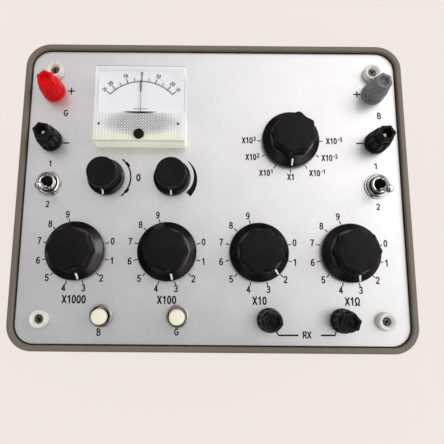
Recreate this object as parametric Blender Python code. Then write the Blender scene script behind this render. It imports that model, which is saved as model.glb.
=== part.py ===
"""Portable direct-current resistance bridge, in metres, +Z up.

The origin is under the middle of the case. X runs along the panel's length, Y away from the user.
Heights of everything that the front panel carries are measured from the panel's upper face.
"""
import math

import bmesh
import bpy

# Gaps between pieces that seat on, pass through or turn in each other
CLEARANCE = 0.0003
KNOB_LIFT = 0.0008

# Case
CASE_LENGTH = 0.280
CASE_WIDTH = 0.224
CASE_HEIGHT = 0.108
CASE_CORNER = 0.018
CASE_WALL = 0.004
CASE_FLOOR = 0.004
CASE_DRAFT = 0.003
RIM_ROUND = 0.0012
BASE_ROUND = 0.003
LEDGE_WIDTH = 0.003
LEDGE_DEPTH = 0.003
FOOT_HEIGHT = 0.003
FOOT_RADIUS = 0.008
FOOT_TAPER = 0.001
BOSS_RADIUS = 0.006
PILOT_RADIUS = 0.0016
PILOT_DEPTH = 0.015
RIB_THICKNESS = 0.002

# Front panel
PANEL_RECESS = 0.003
PANEL_THICKNESS = 0.002
PANEL_TOP = CASE_HEIGHT - PANEL_RECESS
OVER = CLEARANCE
UNDER = -PANEL_THICKNESS - CLEARANCE

# Corner screws and their cups
SCREW_INSET_X = 0.022
SCREW_INSET_Y = 0.0215
SCREW_X = CASE_LENGTH / 2 - SCREW_INSET_X
SCREW_Y = CASE_WIDTH / 2 - SCREW_INSET_Y
SCREW_RADIUS = 0.0019
CUP_RADIUS = 0.0064
CUP_TAPER = 0.0006
CUP_HEIGHT = 0.0052
CUP_BORE = 0.0029
CUP_FLOOR = 0.0012

# Batteries and their cover
CELL_RADIUS = 0.0166
CELL_LENGTH = 0.0610
CELL_COUNT = 3
SMALL_BATTERY_LENGTH = 0.0265
SMALL_BATTERY_WIDTH = 0.0485
SMALL_BATTERY_HEIGHT = 0.0175
SMALL_BATTERY_CORNER = 0.002
SNAP_RADIUS = 0.004
SNAP_HEIGHT = 0.002
SNAP_PITCH = 0.0127
POCKET_WALL = 0.002
COVER_THICKNESS = 0.0025
COVER_FLAP = 0.010
COVER_CORNER = 0.004
COVER_SCREW_RADIUS = 0.0017
GRIP_COUNT = 6
GRIP_PITCH = 0.003
GRIP_WIDTH = 0.0014
GRIP_LENGTH = 0.018
GRIP_DEPTH = 0.0008

# Rotary switches: one for each decade and one for the ratio
DECADE_INSET = 0.044
DIGIT_STEP = 30.0
ZERO_DIGIT_ANGLE = 15.0
SHAFT_RADIUS = 0.003
BUSH_RADIUS = 0.0046
NUT_RADIUS = 0.0072
NUT_HEIGHT = 0.0024
DECK_PLATE_RADIUS = 0.019
DECK_PLATE_THICKNESS = 0.002
HUB_RADIUS = 0.0065
WAFER_RADIUS = 0.021
WAFER_THICKNESS = 0.0018
WAFER_COUNT = 2
WAFER_GAP = 0.011
SHAFT_COLLAR_RADIUS = 0.0046
SHAFT_COLLAR_HEIGHT = 0.0016

# Large knob
KNOB_RADIUS = 0.0206
KNOB_RIM_HEIGHT = 0.0040
KNOB_SKIRT_TOP = 0.0085
KNOB_HEIGHT = 0.0195
KNOB_LOBE_RADIUS = 0.0151
KNOB_VALLEY_RADIUS = 0.0134
KNOB_LOBES = 8
KNOB_LOBE_SHARPNESS = 1.3
KNOB_EDGE = 0.0009
KNOB_TOP_WALL = 0.003
KNOB_RECESS_GAP = 0.0010

# Small knob, its spindle and the electronic board that holds the potentiometers
SMALL_KNOB_PITCH = 0.0475
SMALL_KNOB_SHIFT = -0.00085
SMALL_KNOB_RADIUS = 0.0127
SMALL_KNOB_RIM_HEIGHT = 0.0026
SMALL_KNOB_SKIRT_TOP = 0.0056
SMALL_KNOB_BODY_RADIUS = 0.0104
SMALL_KNOB_FLUTES = 14
SMALL_KNOB_FLUTE_DEPTH = 0.0005
SMALL_KNOB_HEIGHT = 0.0175
SPINDLE_RADIUS = 0.003
SPINDLE_END = -0.0085
POT_BUSH_RADIUS = 0.0045
POT_NUT_RADIUS = 0.0068
POT_NUT_HEIGHT = 0.0024
POT_RADIUS = 0.0083
POT_DEPTH = 0.0090
BOARD_MARGIN = 0.0110
BOARD_WIDTH = 0.038
BOARD_THICKNESS = 0.0016
CHIP_SPREAD = 0.0095
CHIP_LENGTH = 0.0195
CHIP_WIDTH = 0.0064
CHIP_HEIGHT = 0.0036
CAPACITOR_SPREAD = 0.023
CAPACITOR_RADIUS = 0.004
CAPACITOR_HEIGHT = 0.011

# Centre-zero panel meter
METER_INSET = 0.0548
METER_LENGTH = 0.0656
METER_WIDTH = 0.057
METER_HEIGHT = 0.014
METER_CORNER = 0.0016
METER_EDGE = 0.0013
METER_WALL = 0.0016
METER_FLANGE = 0.003
METER_SILL_WIDTH = 0.0196
METER_SILL_HEIGHT = 0.0008
SILL_RIBS = 12
SILL_RIB_HEIGHT = 0.0005
BARREL_RADIUS = 0.0215
BARREL_WALL = 0.002
BARREL_OFFSET = -0.0050
BARREL_DEPTH = 0.0255
PIVOT_OFFSET = -0.0117
STUD_INSET = 0.0058
STUD_SPREAD = METER_LENGTH / 2 - STUD_INSET
STUD_OFFSET = -0.0185
STUD_RADIUS = 0.0015
STUD_LENGTH = 0.012
DIAL_GAP = 0.0024
DIAL_LENGTH = METER_LENGTH - 2 * METER_WALL - 2 * DIAL_GAP
DIAL_SILL_GAP = 0.0050
DIAL_WIDTH = METER_WIDTH - METER_SILL_WIDTH - DIAL_SILL_GAP
DIAL_THICKNESS = 0.0008
DIAL_HEIGHT = 0.0078
DIAL_PILLAR_RADIUS = 0.0018
DIAL_PILLAR_INSET = 0.005
DIAL_PILLAR_SPREAD = DIAL_LENGTH / 2 - DIAL_PILLAR_INSET
YOKE_RADIUS = 0.0124
YOKE_WALL = 0.0025
YOKE_HEIGHT = 0.0155
CORE_RADIUS = 0.006
CORE_HEIGHT = 0.0125
COIL_GAP = 0.001
COIL_HEIGHT = 0.009
COIL_WEB = 0.0015
NEEDLE_SPINDLE_RADIUS = 0.0012
NEEDLE_LENGTH = 0.0335
NEEDLE_TAIL = 0.006
NEEDLE_ROOT_WIDTH = 0.0012
NEEDLE_TIP_WIDTH = 0.0005
NEEDLE_THICKNESS = 0.0005
NEEDLE_BOSS = 0.0004
NEEDLE_GAP = 0.0008
ZERO_SCREW_OFFSET = -0.0237
ZERO_SCREW_RADIUS = 0.0036
ZERO_SCREW_HEAD = 0.0016
ZERO_SCREW_EDGE = 0.0007
ZERO_SCREW_SHANK = 0.0020
ZERO_SCREW_SLOT = 0.0009

# Toggle switches
TOGGLE_INSET = 0.022
TOGGLE_X = CASE_LENGTH / 2 - TOGGLE_INSET
TOGGLE_LEAN = 15.5
TOGGLE_PIVOT = -0.0035
TOGGLE_NUT_RADIUS = 0.0093
TOGGLE_NUT_HEIGHT = 0.0026
TOGGLE_NUT_ROUND = 0.0007
TOGGLE_BUSH_RADIUS = 0.0061
TOGGLE_BUSH_HEIGHT = 0.006
TOGGLE_MOUTH = 0.0051
TOGGLE_BODY_LENGTH = 0.017
TOGGLE_BODY_WIDTH = 0.027
TOGGLE_BODY_DEPTH = 0.019
TOGGLE_BODY_CORNER = 0.0015
TOGGLE_CAVITY_DEPTH = 0.014
LEVER_BALL = 0.0033
LEVER_NECK = 0.0017
LEVER_THROAT = 0.00276
LEVER_TIP = 0.00285
LEVER_TIP_LENGTH = 0.004
LEVER_HEIGHT = 0.0232
LEVER_TAIL = 0.0075

# Push-buttons
BUTTON_INSET = 0.024
B_BUTTON_OFFSET = 0.020
G_BUTTON_OFFSET = 0.008
BEZEL_RADIUS = 0.0076
BEZEL_WALL = 0.0014
BEZEL_HEIGHT = 0.0050
BEZEL_FLOOR = 0.0006
BUTTON_THREAD_RADIUS = 0.006
BUTTON_THREAD_LENGTH = 0.014
BUTTON_NUT_RADIUS = 0.0085
BUTTON_NUT_HEIGHT = 0.0025
BUTTON_HEIGHT = 0.0090
BUTTON_ROUND = 0.0012
BUTTON_TRAVEL = 0.0025
BUTTON_STEM_RADIUS = 0.003
BUTTON_STEM_LENGTH = 0.011

# Binding posts
POST_INSET_X = 0.0215
POST_INSET_Y = 0.037
POST_PITCH = 0.0382
TOGGLE_PITCH = 0.0323
RX_INSET = 0.0218
RX_LEFT_OFFSET = 0.0065
RX_RIGHT_OFFSET = -0.0075
POST_COLLAR_RADIUS = 0.0083
POST_COLLAR_HEIGHT = 0.004
POST_BUSH_RADIUS = 0.0042
STEM_RADIUS = 0.003
STEM_TOP = 0.0168
STEM_BOTTOM = -0.016
SOCKET_RADIUS = 0.002
SOCKET_DEPTH = 0.0115
POST_NUT_RADIUS = 0.0062
POST_NUT_HEIGHT = 0.003
CLAMP_RADIUS = 0.0072
CLAMP_THICKNESS = 0.001
CAP_TOP = 0.0215
CAP_RADIUS = 0.0082
CAP_FLUTES = 12
CAP_FLUTE_DEPTH = 0.0005
CAP_SHOULDER = 0.0140
CAP_SHOULDER_RADIUS = 0.0075
CAP_HEAD_RADIUS = 0.0063
CAP_HEAD_HOLLOW = 0.0009
CAP_HEAD_START = 0.0172
CAP_EDGE = 0.0006
CAP_MOUTH = 0.0034
CAP_MOUTH_DEPTH = 0.0057

# Layout: the outer columns keep their distance from the case's sides, and the rows share the width
# that the meter, knobs and buttons leave free
FREE_WIDTH = CASE_WIDTH - METER_WIDTH - 2 * (SMALL_KNOB_RADIUS + KNOB_RADIUS + BEZEL_RADIUS)
REAR_SHARE = 0.2700
METER_SHARE = 0.1150
KNOB_SHARE = 0.2371
FRONT_SHARE = 0.1925
METER_ROW = CASE_WIDTH / 2 - REAR_SHARE * FREE_WIDTH - METER_WIDTH / 2
SMALL_KNOB_ROW = METER_ROW - METER_WIDTH / 2 - METER_SHARE * FREE_WIDTH - SMALL_KNOB_RADIUS
DECADE_ROW = SMALL_KNOB_ROW - SMALL_KNOB_RADIUS - KNOB_SHARE * FREE_WIDTH - KNOB_RADIUS
BUTTON_ROW = -CASE_WIDTH / 2 + FRONT_SHARE * FREE_WIDTH + BEZEL_RADIUS
RX_ROW = -CASE_WIDTH / 2 + RX_INSET
DECADE_PITCH = (CASE_LENGTH - 2 * DECADE_INSET) / 3
METER_PLACE = (-CASE_LENGTH / 2 + METER_INSET + METER_LENGTH / 2, METER_ROW)
RATIO_INSET = 0.084
RATIO_OFFSET = -0.0225
RATIO_PLACE = (CASE_LENGTH / 2 - RATIO_INSET, METER_ROW + RATIO_OFFSET)
ZERO_KNOB_X = METER_PLACE[0] + SMALL_KNOB_SHIFT - SMALL_KNOB_PITCH / 2
SENSITIVITY_KNOB_X = ZERO_KNOB_X + SMALL_KNOB_PITCH
B_BUTTON_X = -1.5 * DECADE_PITCH + B_BUTTON_OFFSET
G_BUTTON_X = -0.5 * DECADE_PITCH + G_BUTTON_OFFSET
POST_X = CASE_LENGTH / 2 - POST_INSET_X
POST_FAR_ROW = CASE_WIDTH / 2 - POST_INSET_Y
POST_NEAR_ROW = POST_FAR_ROW - POST_PITCH
TOGGLE_Y = POST_NEAR_ROW - TOGGLE_PITCH
RX_LEFT_X = 0.5 * DECADE_PITCH + RX_LEFT_OFFSET
RX_RIGHT_X = 1.5 * DECADE_PITCH + RX_RIGHT_OFFSET

# Points round a ring, by how closely a piece is looked at
FINE = 20
MEDIUM = 12
COARSE = 10
CORNER_STEPS = 4


def material(name, colour, roughness, metallic=0.0):
    """Return a Principled material."""
    finish = bpy.data.materials.new(name)
    finish.use_nodes = True
    shader = finish.node_tree.nodes["Principled BSDF"]
    shader.inputs["Base Color"].default_value = (*colour, 1.0)
    shader.inputs["Roughness"].default_value = roughness
    shader.inputs["Metallic"].default_value = metallic
    return finish


def circle(radius, height, count, centre=(0.0, 0.0)):
    """Return a level ring of points."""
    turns = [2 * math.pi * i / count for i in range(count)]
    return [(centre[0] + radius * math.cos(t), centre[1] + radius * math.sin(t), height) for t in turns]


def polar(radius_at, height, count):
    """Return a level ring whose radius is a function of its angle."""
    turns = [2 * math.pi * i / count for i in range(count)]
    return [(radius_at(t) * math.cos(t), radius_at(t) * math.sin(t), height) for t in turns]


def rounded(length, width, corner, height, centre=(0.0, 0.0), steps=CORNER_STEPS):
    """Return a level ring round a rectangle with arcs for corners."""
    ring = []
    for quarter, (side_x, side_y) in enumerate(((1, 1), (-1, 1), (-1, -1), (1, -1))):
        x = centre[0] + side_x * (length / 2 - corner)
        y = centre[1] + side_y * (width / 2 - corner)
        for step in range(steps + 1):
            turn = math.pi / 2 * (quarter + step / steps)
            ring.append((x + corner * math.cos(turn), y + corner * math.sin(turn), height))
    return ring


def rectangle(length, width, height, centre=(0.0, 0.0)):
    """Return the four corners of a level rectangle."""
    return [(centre[0] + length / 2 * x, centre[1] + width / 2 * y, height)
            for x, y in ((1, 1), (-1, 1), (-1, -1), (1, -1))]


def loft(shape, rings, closed=False):
    """Join level rings into a skin that is capped, or that closes on itself."""
    loops = [[shape.verts.new(point) for point in ring] for ring in rings]
    pairs = list(zip(loops, loops[1:]))
    if closed:
        pairs.append((loops[-1], loops[0]))
    else:
        shape.faces.new(reversed(loops[0]))
        shape.faces.new(loops[-1])
    for lower, upper in pairs:
        for i in range(len(lower)):
            j = (i + 1) % len(lower)
            shape.faces.new((lower[i], lower[j], upper[j], upper[i]))
    return shape


def turned(profile, count, closed=False, centre=(0.0, 0.0)):
    """Return a solid of revolution from (radius, height) pairs."""
    return loft(bmesh.new(), [circle(r, z, count, centre) for r, z in profile], closed)


def arc(radius, height, start, end, steps):
    """Return profile points on a ball, by degrees up from its lowest point."""
    turns = [math.radians(start + (end - start) * step / steps) for step in range(steps + 1)]
    return [(radius * math.sin(t), height - radius * math.cos(t)) for t in turns]


def add_turned(shape, profile, count, centre=(0.0, 0.0)):
    """Add a capped solid of revolution to a shape."""
    loft(shape, [circle(r, z, count, centre) for r, z in profile])


def add_box(shape, length, width, low, high, centre=(0.0, 0.0)):
    """Add a box that stands between two heights to a shape."""
    loft(shape, [rectangle(length, width, low, centre), rectangle(length, width, high, centre)])


def new_object(name, shape):
    """Turn a shape into an object with its faces pointing out."""
    bmesh.ops.recalc_face_normals(shape, faces=shape.faces)
    mesh = bpy.data.meshes.new(name)
    shape.to_mesh(mesh)
    shape.free()
    thing = bpy.data.objects.new(name, mesh)
    bpy.context.scene.collection.objects.link(thing)
    return thing


def combined(body, tool, operation):
    """Return the union or difference of two shapes as a new shape."""
    first = new_object("body", body)
    second = new_object("tool", tool)
    step = first.modifiers.new(operation, "BOOLEAN")
    step.operation = operation
    step.object = second
    evaluated = first.evaluated_get(bpy.context.evaluated_depsgraph_get())
    result = bmesh.new()
    result.from_mesh(evaluated.to_mesh())
    evaluated.to_mesh_clear()
    for operand in (first, second):
        bpy.data.objects.remove(operand, do_unlink=True)
    return result


def finished_mesh(name, shape, finish):
    """Return a smooth mesh in its material, to be placed once or more."""
    thing = new_object(name, shape)
    mesh = thing.data
    bpy.data.objects.remove(thing, do_unlink=True)
    mesh.materials.append(finish)
    mesh.shade_smooth()
    mesh.set_sharp_from_angle(angle=math.radians(35))
    return mesh


def place(name, mesh, location, turn=0.0):
    """Stand a named piece at a location, turned about +Z."""
    thing = bpy.data.objects.new(name, mesh)
    thing.location = location
    thing.rotation_euler.z = math.radians(turn)
    bpy.context.scene.collection.objects.link(thing)
    return thing


def on_panel(name, mesh, spot, turn=0.0):
    """Stand a piece on the panel; its own heights start at the panel's upper face."""
    return place(name, mesh, (spot[0], spot[1], PANEL_TOP), turn)


def digit_angle(digit):
    """Return the direction of a decade digit in degrees, counted from +X."""
    return ZERO_DIGIT_ANGLE - DIGIT_STEP * digit


SWITCHES = {
    "x1000": ((-1.5 * DECADE_PITCH, DECADE_ROW), digit_angle(3)),
    "x100": ((-0.5 * DECADE_PITCH, DECADE_ROW), digit_angle(3)),
    "x10": ((0.5 * DECADE_PITCH, DECADE_ROW), digit_angle(2)),
    "x1": ((1.5 * DECADE_PITCH, DECADE_ROW), digit_angle(3)),
    "ratio": (RATIO_PLACE, -90.0),
}
SMALL_KNOBS = {
    "zero": (ZERO_KNOB_X, SMALL_KNOB_ROW),
    "sensitivity": (SENSITIVITY_KNOB_X, SMALL_KNOB_ROW),
}
TOGGLES = {"left": (-TOGGLE_X, TOGGLE_Y), "right": (TOGGLE_X, TOGGLE_Y)}
BUTTONS = {"b": (B_BUTTON_X, BUTTON_ROW), "g": (G_BUTTON_X, BUTTON_ROW)}
CORNERS = {
    "rear_left": (-SCREW_X, SCREW_Y),
    "rear_right": (SCREW_X, SCREW_Y),
    "front_left": (-SCREW_X, -SCREW_Y),
    "front_right": (SCREW_X, -SCREW_Y),
}
POSTS = {
    "red_post": (-POST_X, POST_FAR_ROW),
    "left_black_post": (-POST_X, POST_NEAR_ROW),
    "grey_post": (POST_X, POST_FAR_ROW),
    "right_black_post": (POST_X, POST_NEAR_ROW),
    "rx_left_post": (RX_LEFT_X, RX_ROW),
    "rx_right_post": (RX_RIGHT_X, RX_ROW),
}
BARREL_PLACE = (METER_PLACE[0], METER_PLACE[1] + BARREL_OFFSET)
PIVOT_PLACE = (METER_PLACE[0], METER_PLACE[1] + PIVOT_OFFSET)
STUD_PLACES = [(METER_PLACE[0] + side * STUD_SPREAD, METER_PLACE[1] + STUD_OFFSET) for side in (-1, 1)]
ZERO_SCREW_PLACE = (METER_PLACE[0], METER_PLACE[1] + ZERO_SCREW_OFFSET)

# Battery bay, worked out from the batteries
PACK_LENGTH = 2 * CELL_RADIUS * CELL_COUNT
BAY_LENGTH = PACK_LENGTH + POCKET_WALL + SMALL_BATTERY_LENGTH + 4 * CLEARANCE
BAY_WIDTH = CELL_LENGTH + 2 * CLEARANCE
PACK_X = -BAY_LENGTH / 2 + CLEARANCE + PACK_LENGTH / 2
SMALL_BATTERY_X = BAY_LENGTH / 2 - CLEARANCE - SMALL_BATTERY_LENGTH / 2
COVER_TOP = FOOT_HEIGHT + COVER_THICKNESS
BATTERY_BOTTOM = COVER_TOP + CLEARANCE
COVER_LENGTH = BAY_LENGTH + 2 * COVER_FLAP
COVER_WIDTH = BAY_WIDTH + 2 * POCKET_WALL
COVER_SCREW_X = BAY_LENGTH / 2 + COVER_FLAP / 2 + POCKET_WALL / 2


def case_ring(inset, height):
    """Return a ring that follows the case's outline at a distance inside it."""
    return rounded(CASE_LENGTH - 2 * inset, CASE_WIDTH - 2 * inset, CASE_CORNER - inset, height)


def case_shell():
    """Return the tub: drafted wall, rounded rim and the ledge under the panel."""
    ledge = PANEL_TOP + UNDER
    floor = FOOT_HEIGHT + CASE_FLOOR
    return loft(bmesh.new(), [
        case_ring(CASE_DRAFT + BASE_ROUND, FOOT_HEIGHT),
        case_ring(CASE_DRAFT, FOOT_HEIGHT + BASE_ROUND),
        case_ring(0.0, CASE_HEIGHT - RIM_ROUND),
        case_ring(RIM_ROUND, CASE_HEIGHT),
        case_ring(CASE_WALL - RIM_ROUND / 2, CASE_HEIGHT),
        case_ring(CASE_WALL, CASE_HEIGHT - RIM_ROUND / 2),
        case_ring(CASE_WALL, ledge),
        case_ring(CASE_WALL + LEDGE_WIDTH, ledge),
        case_ring(CASE_WALL + LEDGE_WIDTH, ledge - LEDGE_DEPTH),
        case_ring(CASE_WALL, ledge - LEDGE_DEPTH - LEDGE_WIDTH),
        case_ring(CASE_WALL + CASE_DRAFT, floor),
    ])


def build_case(finish):
    """Case with panel bosses, ribs, battery bay and feet moulded in one."""
    ledge = PANEL_TOP + UNDER
    inside = FOOT_HEIGHT + CASE_FLOOR / 2
    shape = case_shell()

    bosses = bmesh.new()
    for x, y in CORNERS.values():
        add_turned(bosses, [(BOSS_RADIUS, inside), (BOSS_RADIUS, ledge)], COARSE, (x, y))
    shape = combined(shape, bosses, "UNION")

    ribs = bmesh.new()
    rib_top = ledge - LEDGE_DEPTH - 2 * LEDGE_WIDTH
    reach_x = CASE_LENGTH / 2 - CASE_WALL / 2 - CASE_DRAFT - SCREW_X
    reach_y = CASE_WIDTH / 2 - CASE_WALL / 2 - CASE_DRAFT - SCREW_Y
    for x, y in CORNERS.values():
        side_x = math.copysign(1, x)
        side_y = math.copysign(1, y)
        middle_x = (x + side_x * (BOSS_RADIUS + reach_x) / 2, y)
        middle_y = (x, y + side_y * (BOSS_RADIUS + reach_y) / 2)
        add_box(ribs, reach_x - BOSS_RADIUS + RIB_THICKNESS, RIB_THICKNESS, inside, rib_top, middle_x)
        add_box(ribs, RIB_THICKNESS, reach_y - BOSS_RADIUS + RIB_THICKNESS, inside, rib_top, middle_y)
    shape = combined(shape, ribs, "UNION")

    bay = bmesh.new()
    bay_top = BATTERY_BOTTOM + 2 * CELL_RADIUS + CLEARANCE + POCKET_WALL
    add_box(bay, BAY_LENGTH + 2 * POCKET_WALL, COVER_WIDTH, inside, bay_top)
    shape = combined(shape, bay, "UNION")

    stands = bmesh.new()
    for side in (-1, 1):
        spot = (side * COVER_SCREW_X, 0.0)
        add_turned(stands, [(BOSS_RADIUS, inside), (BOSS_RADIUS, inside + PILOT_DEPTH)], COARSE, spot)
    for x, y in CORNERS.values():
        foot = [(FOOT_RADIUS - FOOT_TAPER, 0.0), (FOOT_RADIUS, inside)]
        add_turned(stands, foot, MEDIUM, (x, y))
    shape = combined(shape, stands, "UNION")

    hollows = bmesh.new()
    recess = COVER_TOP + CLEARANCE
    loft(hollows, [rounded(COVER_LENGTH + 2 * CLEARANCE, COVER_WIDTH + 2 * CLEARANCE,
                           COVER_CORNER + CLEARANCE, z, steps=2) for z in (0.0, recess)])
    shape = combined(shape, hollows, "DIFFERENCE")

    pockets = bmesh.new()
    pack_top = BATTERY_BOTTOM + 2 * CELL_RADIUS + CLEARANCE
    small_top = BATTERY_BOTTOM + SMALL_BATTERY_HEIGHT + CLEARANCE
    add_box(pockets, PACK_LENGTH + 2 * CLEARANCE, BAY_WIDTH, 0.0, pack_top, (PACK_X, 0.0))
    add_box(pockets, SMALL_BATTERY_LENGTH + 2 * CLEARANCE, BAY_WIDTH, 0.0, small_top, (SMALL_BATTERY_X, 0.0))
    for side in (-1, 1):
        spot = (side * COVER_SCREW_X, 0.0)
        add_turned(pockets, [(PILOT_RADIUS, 0.0), (PILOT_RADIUS, inside + PILOT_DEPTH / 2)], COARSE, spot)
    for x, y in CORNERS.values():
        pilot = [(PILOT_RADIUS, ledge - PILOT_DEPTH), (PILOT_RADIUS, ledge + CASE_WALL)]
        add_turned(pockets, pilot, COARSE, (x, y))
    shape = combined(shape, pockets, "DIFFERENCE")
    place("case", finished_mesh("case", shape, finish), (0.0, 0.0, 0.0))


def build_battery_cover(finish):
    """Cover under the battery bay, with finger grooves and two screw holes."""
    shape = loft(bmesh.new(), [rounded(COVER_LENGTH, COVER_WIDTH, COVER_CORNER, z, steps=2)
                               for z in (FOOT_HEIGHT, COVER_TOP)])
    cuts = bmesh.new()
    for side in (-1, 1):
        spot = (side * COVER_SCREW_X, 0.0)
        add_turned(cuts, [(COVER_SCREW_RADIUS, 0.0), (COVER_SCREW_RADIUS, COVER_TOP + CLEARANCE)], COARSE, spot)
    for groove in range(GRIP_COUNT):
        offset = (groove - (GRIP_COUNT - 1) / 2) * GRIP_PITCH
        add_box(cuts, GRIP_WIDTH, GRIP_LENGTH, 0.0, FOOT_HEIGHT + GRIP_DEPTH, (offset, 0.0))
    shape = combined(shape, cuts, "DIFFERENCE")
    place("battery_cover", finished_mesh("battery_cover", shape, finish), (0.0, 0.0, 0.0))


def cell_row(radius, height, steps):
    """Return a ring round a row of cells that one wrap holds together."""
    ring = []
    last = CELL_COUNT - 1
    arcs = [(last, -135, 135)]
    arcs += [(cell, 45, 135) for cell in reversed(range(1, last))]
    arcs += [(0, 45, 315)]
    arcs += [(cell, 225, 315) for cell in range(1, last)]
    for cell, start, end in arcs:
        x = (2 * cell - last) * CELL_RADIUS
        count = steps * (end - start) // 90
        for step in range(count + 1):
            turn = math.radians(start + (end - start) * step / count)
            ring.append((x + radius * math.cos(turn), radius * math.sin(turn), height))
    return ring


def build_batteries(wrap, dark):
    """Wrapped pack of large cells on its side, and the small flat battery."""
    shape = loft(bmesh.new(), [cell_row(CELL_RADIUS, -CELL_LENGTH / 2, 3),
                               cell_row(CELL_RADIUS, CELL_LENGTH / 2, 3)])
    location = (PACK_X, 0.0, BATTERY_BOTTOM + CELL_RADIUS)
    pack = place("battery_pack", finished_mesh("battery_pack", shape, wrap), location)
    pack.rotation_euler.x = math.radians(-90)

    length = SMALL_BATTERY_LENGTH
    height = SMALL_BATTERY_HEIGHT
    body = SMALL_BATTERY_WIDTH - SNAP_HEIGHT
    shape = loft(bmesh.new(), [rounded(length, height, SMALL_BATTERY_CORNER, z, steps=2)
                               for z in (0.0, body)])
    snaps = bmesh.new()
    for side in (-1, 1):
        profile = [(SNAP_RADIUS, body - SNAP_HEIGHT), (SNAP_RADIUS, body + SNAP_HEIGHT)]
        add_turned(snaps, profile, COARSE, (side * SNAP_PITCH / 2, 0.0))
    shape = combined(shape, snaps, "UNION")
    location = (SMALL_BATTERY_X, -SMALL_BATTERY_WIDTH / 2, BATTERY_BOTTOM + height / 2)
    small = place("nine_volt_battery", finished_mesh("nine_volt_battery", shape, dark), location)
    small.rotation_euler.x = math.radians(-90)


def build_panel(finish):
    """Front plate with a hole for everything that passes through it."""
    inset = CASE_WALL + CLEARANCE
    shape = loft(bmesh.new(), [case_ring(inset, -PANEL_THICKNESS), case_ring(inset, 0.0)])
    holes = [(spot, SCREW_RADIUS, COARSE) for spot in CORNERS.values()]
    holes += [(spot, BUSH_RADIUS, COARSE) for spot, _ in SWITCHES.values()]
    holes += [(spot, POT_BUSH_RADIUS, COARSE) for spot in SMALL_KNOBS.values()]
    holes += [(spot, TOGGLE_BUSH_RADIUS, MEDIUM) for spot in TOGGLES.values()]
    holes += [(spot, BUTTON_THREAD_RADIUS, MEDIUM) for spot in BUTTONS.values()]
    holes += [(spot, POST_BUSH_RADIUS, COARSE) for spot in POSTS.values()]
    holes += [(spot, STUD_RADIUS, COARSE) for spot in STUD_PLACES]
    holes += [(BARREL_PLACE, BARREL_RADIUS, FINE)]
    cutter = bmesh.new()
    for spot, radius, count in holes:
        bore = (radius + CLEARANCE) / math.cos(math.pi / count)
        add_turned(cutter, [(bore, -2 * PANEL_THICKNESS), (bore, PANEL_THICKNESS)], count, spot)
    shape = combined(shape, cutter, "DIFFERENCE")
    on_panel("front_panel", finished_mesh("front_panel", shape, finish), (0.0, 0.0))


def build_screw_cups(finish):
    """Shouldered cups that the corner screws sit in."""
    shape = turned([
        (SCREW_RADIUS + CLEARANCE, OVER),
        (CUP_RADIUS, OVER),
        (CUP_RADIUS - CUP_TAPER, CUP_HEIGHT - CUP_TAPER),
        (CUP_RADIUS - 2 * CUP_TAPER, CUP_HEIGHT),
        (CUP_BORE, CUP_HEIGHT),
        (CUP_BORE, CUP_FLOOR),
        (SCREW_RADIUS + CLEARANCE, CUP_FLOOR),
    ], COARSE, closed=True)
    mesh = finished_mesh("screw_cup", shape, finish)
    for name, spot in CORNERS.items():
        on_panel("screw_cup_" + name, mesh, spot)


def deck_profile():
    """Return the profile of a rotary switch, from its bush down to its last wafer."""
    bore = SHAFT_RADIUS + CLEARANCE
    profile = [
        (bore, NUT_HEIGHT),
        (NUT_RADIUS, NUT_HEIGHT),
        (NUT_RADIUS, OVER),
        (BUSH_RADIUS, OVER),
        (BUSH_RADIUS, UNDER),
        (DECK_PLATE_RADIUS, UNDER),
        (DECK_PLATE_RADIUS, UNDER - DECK_PLATE_THICKNESS),
    ]
    height = UNDER - DECK_PLATE_THICKNESS
    for _ in range(WAFER_COUNT):
        top = height - WAFER_GAP
        bottom = top - WAFER_THICKNESS
        profile += [(HUB_RADIUS, height), (HUB_RADIUS, top), (WAFER_RADIUS, top), (WAFER_RADIUS, bottom)]
        height = bottom
    profile.append((bore, height))
    return profile


def build_switches(phenolic, steel, black):
    """Rotary switch, shaft and knob for each decade and for the ratio."""
    profile = deck_profile()
    deck_mesh = finished_mesh("switch_deck", turned(profile, COARSE, closed=True), phenolic)

    end = profile[-1][1] - CLEARANCE
    tip = KNOB_HEIGHT - KNOB_TOP_WALL - CLEARANCE
    shaft = turned([
        (SHAFT_RADIUS, tip),
        (SHAFT_RADIUS, end),
        (SHAFT_COLLAR_RADIUS, end),
        (SHAFT_COLLAR_RADIUS, end - SHAFT_COLLAR_HEIGHT),
    ], COARSE)
    shaft_mesh = finished_mesh("switch_shaft", shaft, steel)
    knob_mesh = finished_mesh("knob", large_knob(), black)
    for name, (spot, angle) in SWITCHES.items():
        on_panel(name + "_switch", deck_mesh, spot)
        on_panel(name + "_shaft", shaft_mesh, spot, angle)
        on_panel(name + "_knob", knob_mesh, spot, angle)


def lobed(tip, valley, height, count):
    """Return a ring with narrow lobes and a round hollow at angle zero."""
    def radius_at(turn):
        hollow = abs(math.cos(KNOB_LOBES * turn / 2)) ** KNOB_LOBE_SHARPNESS
        return tip - (tip - valley) * hollow
    return polar(radius_at, height, count)


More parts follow.
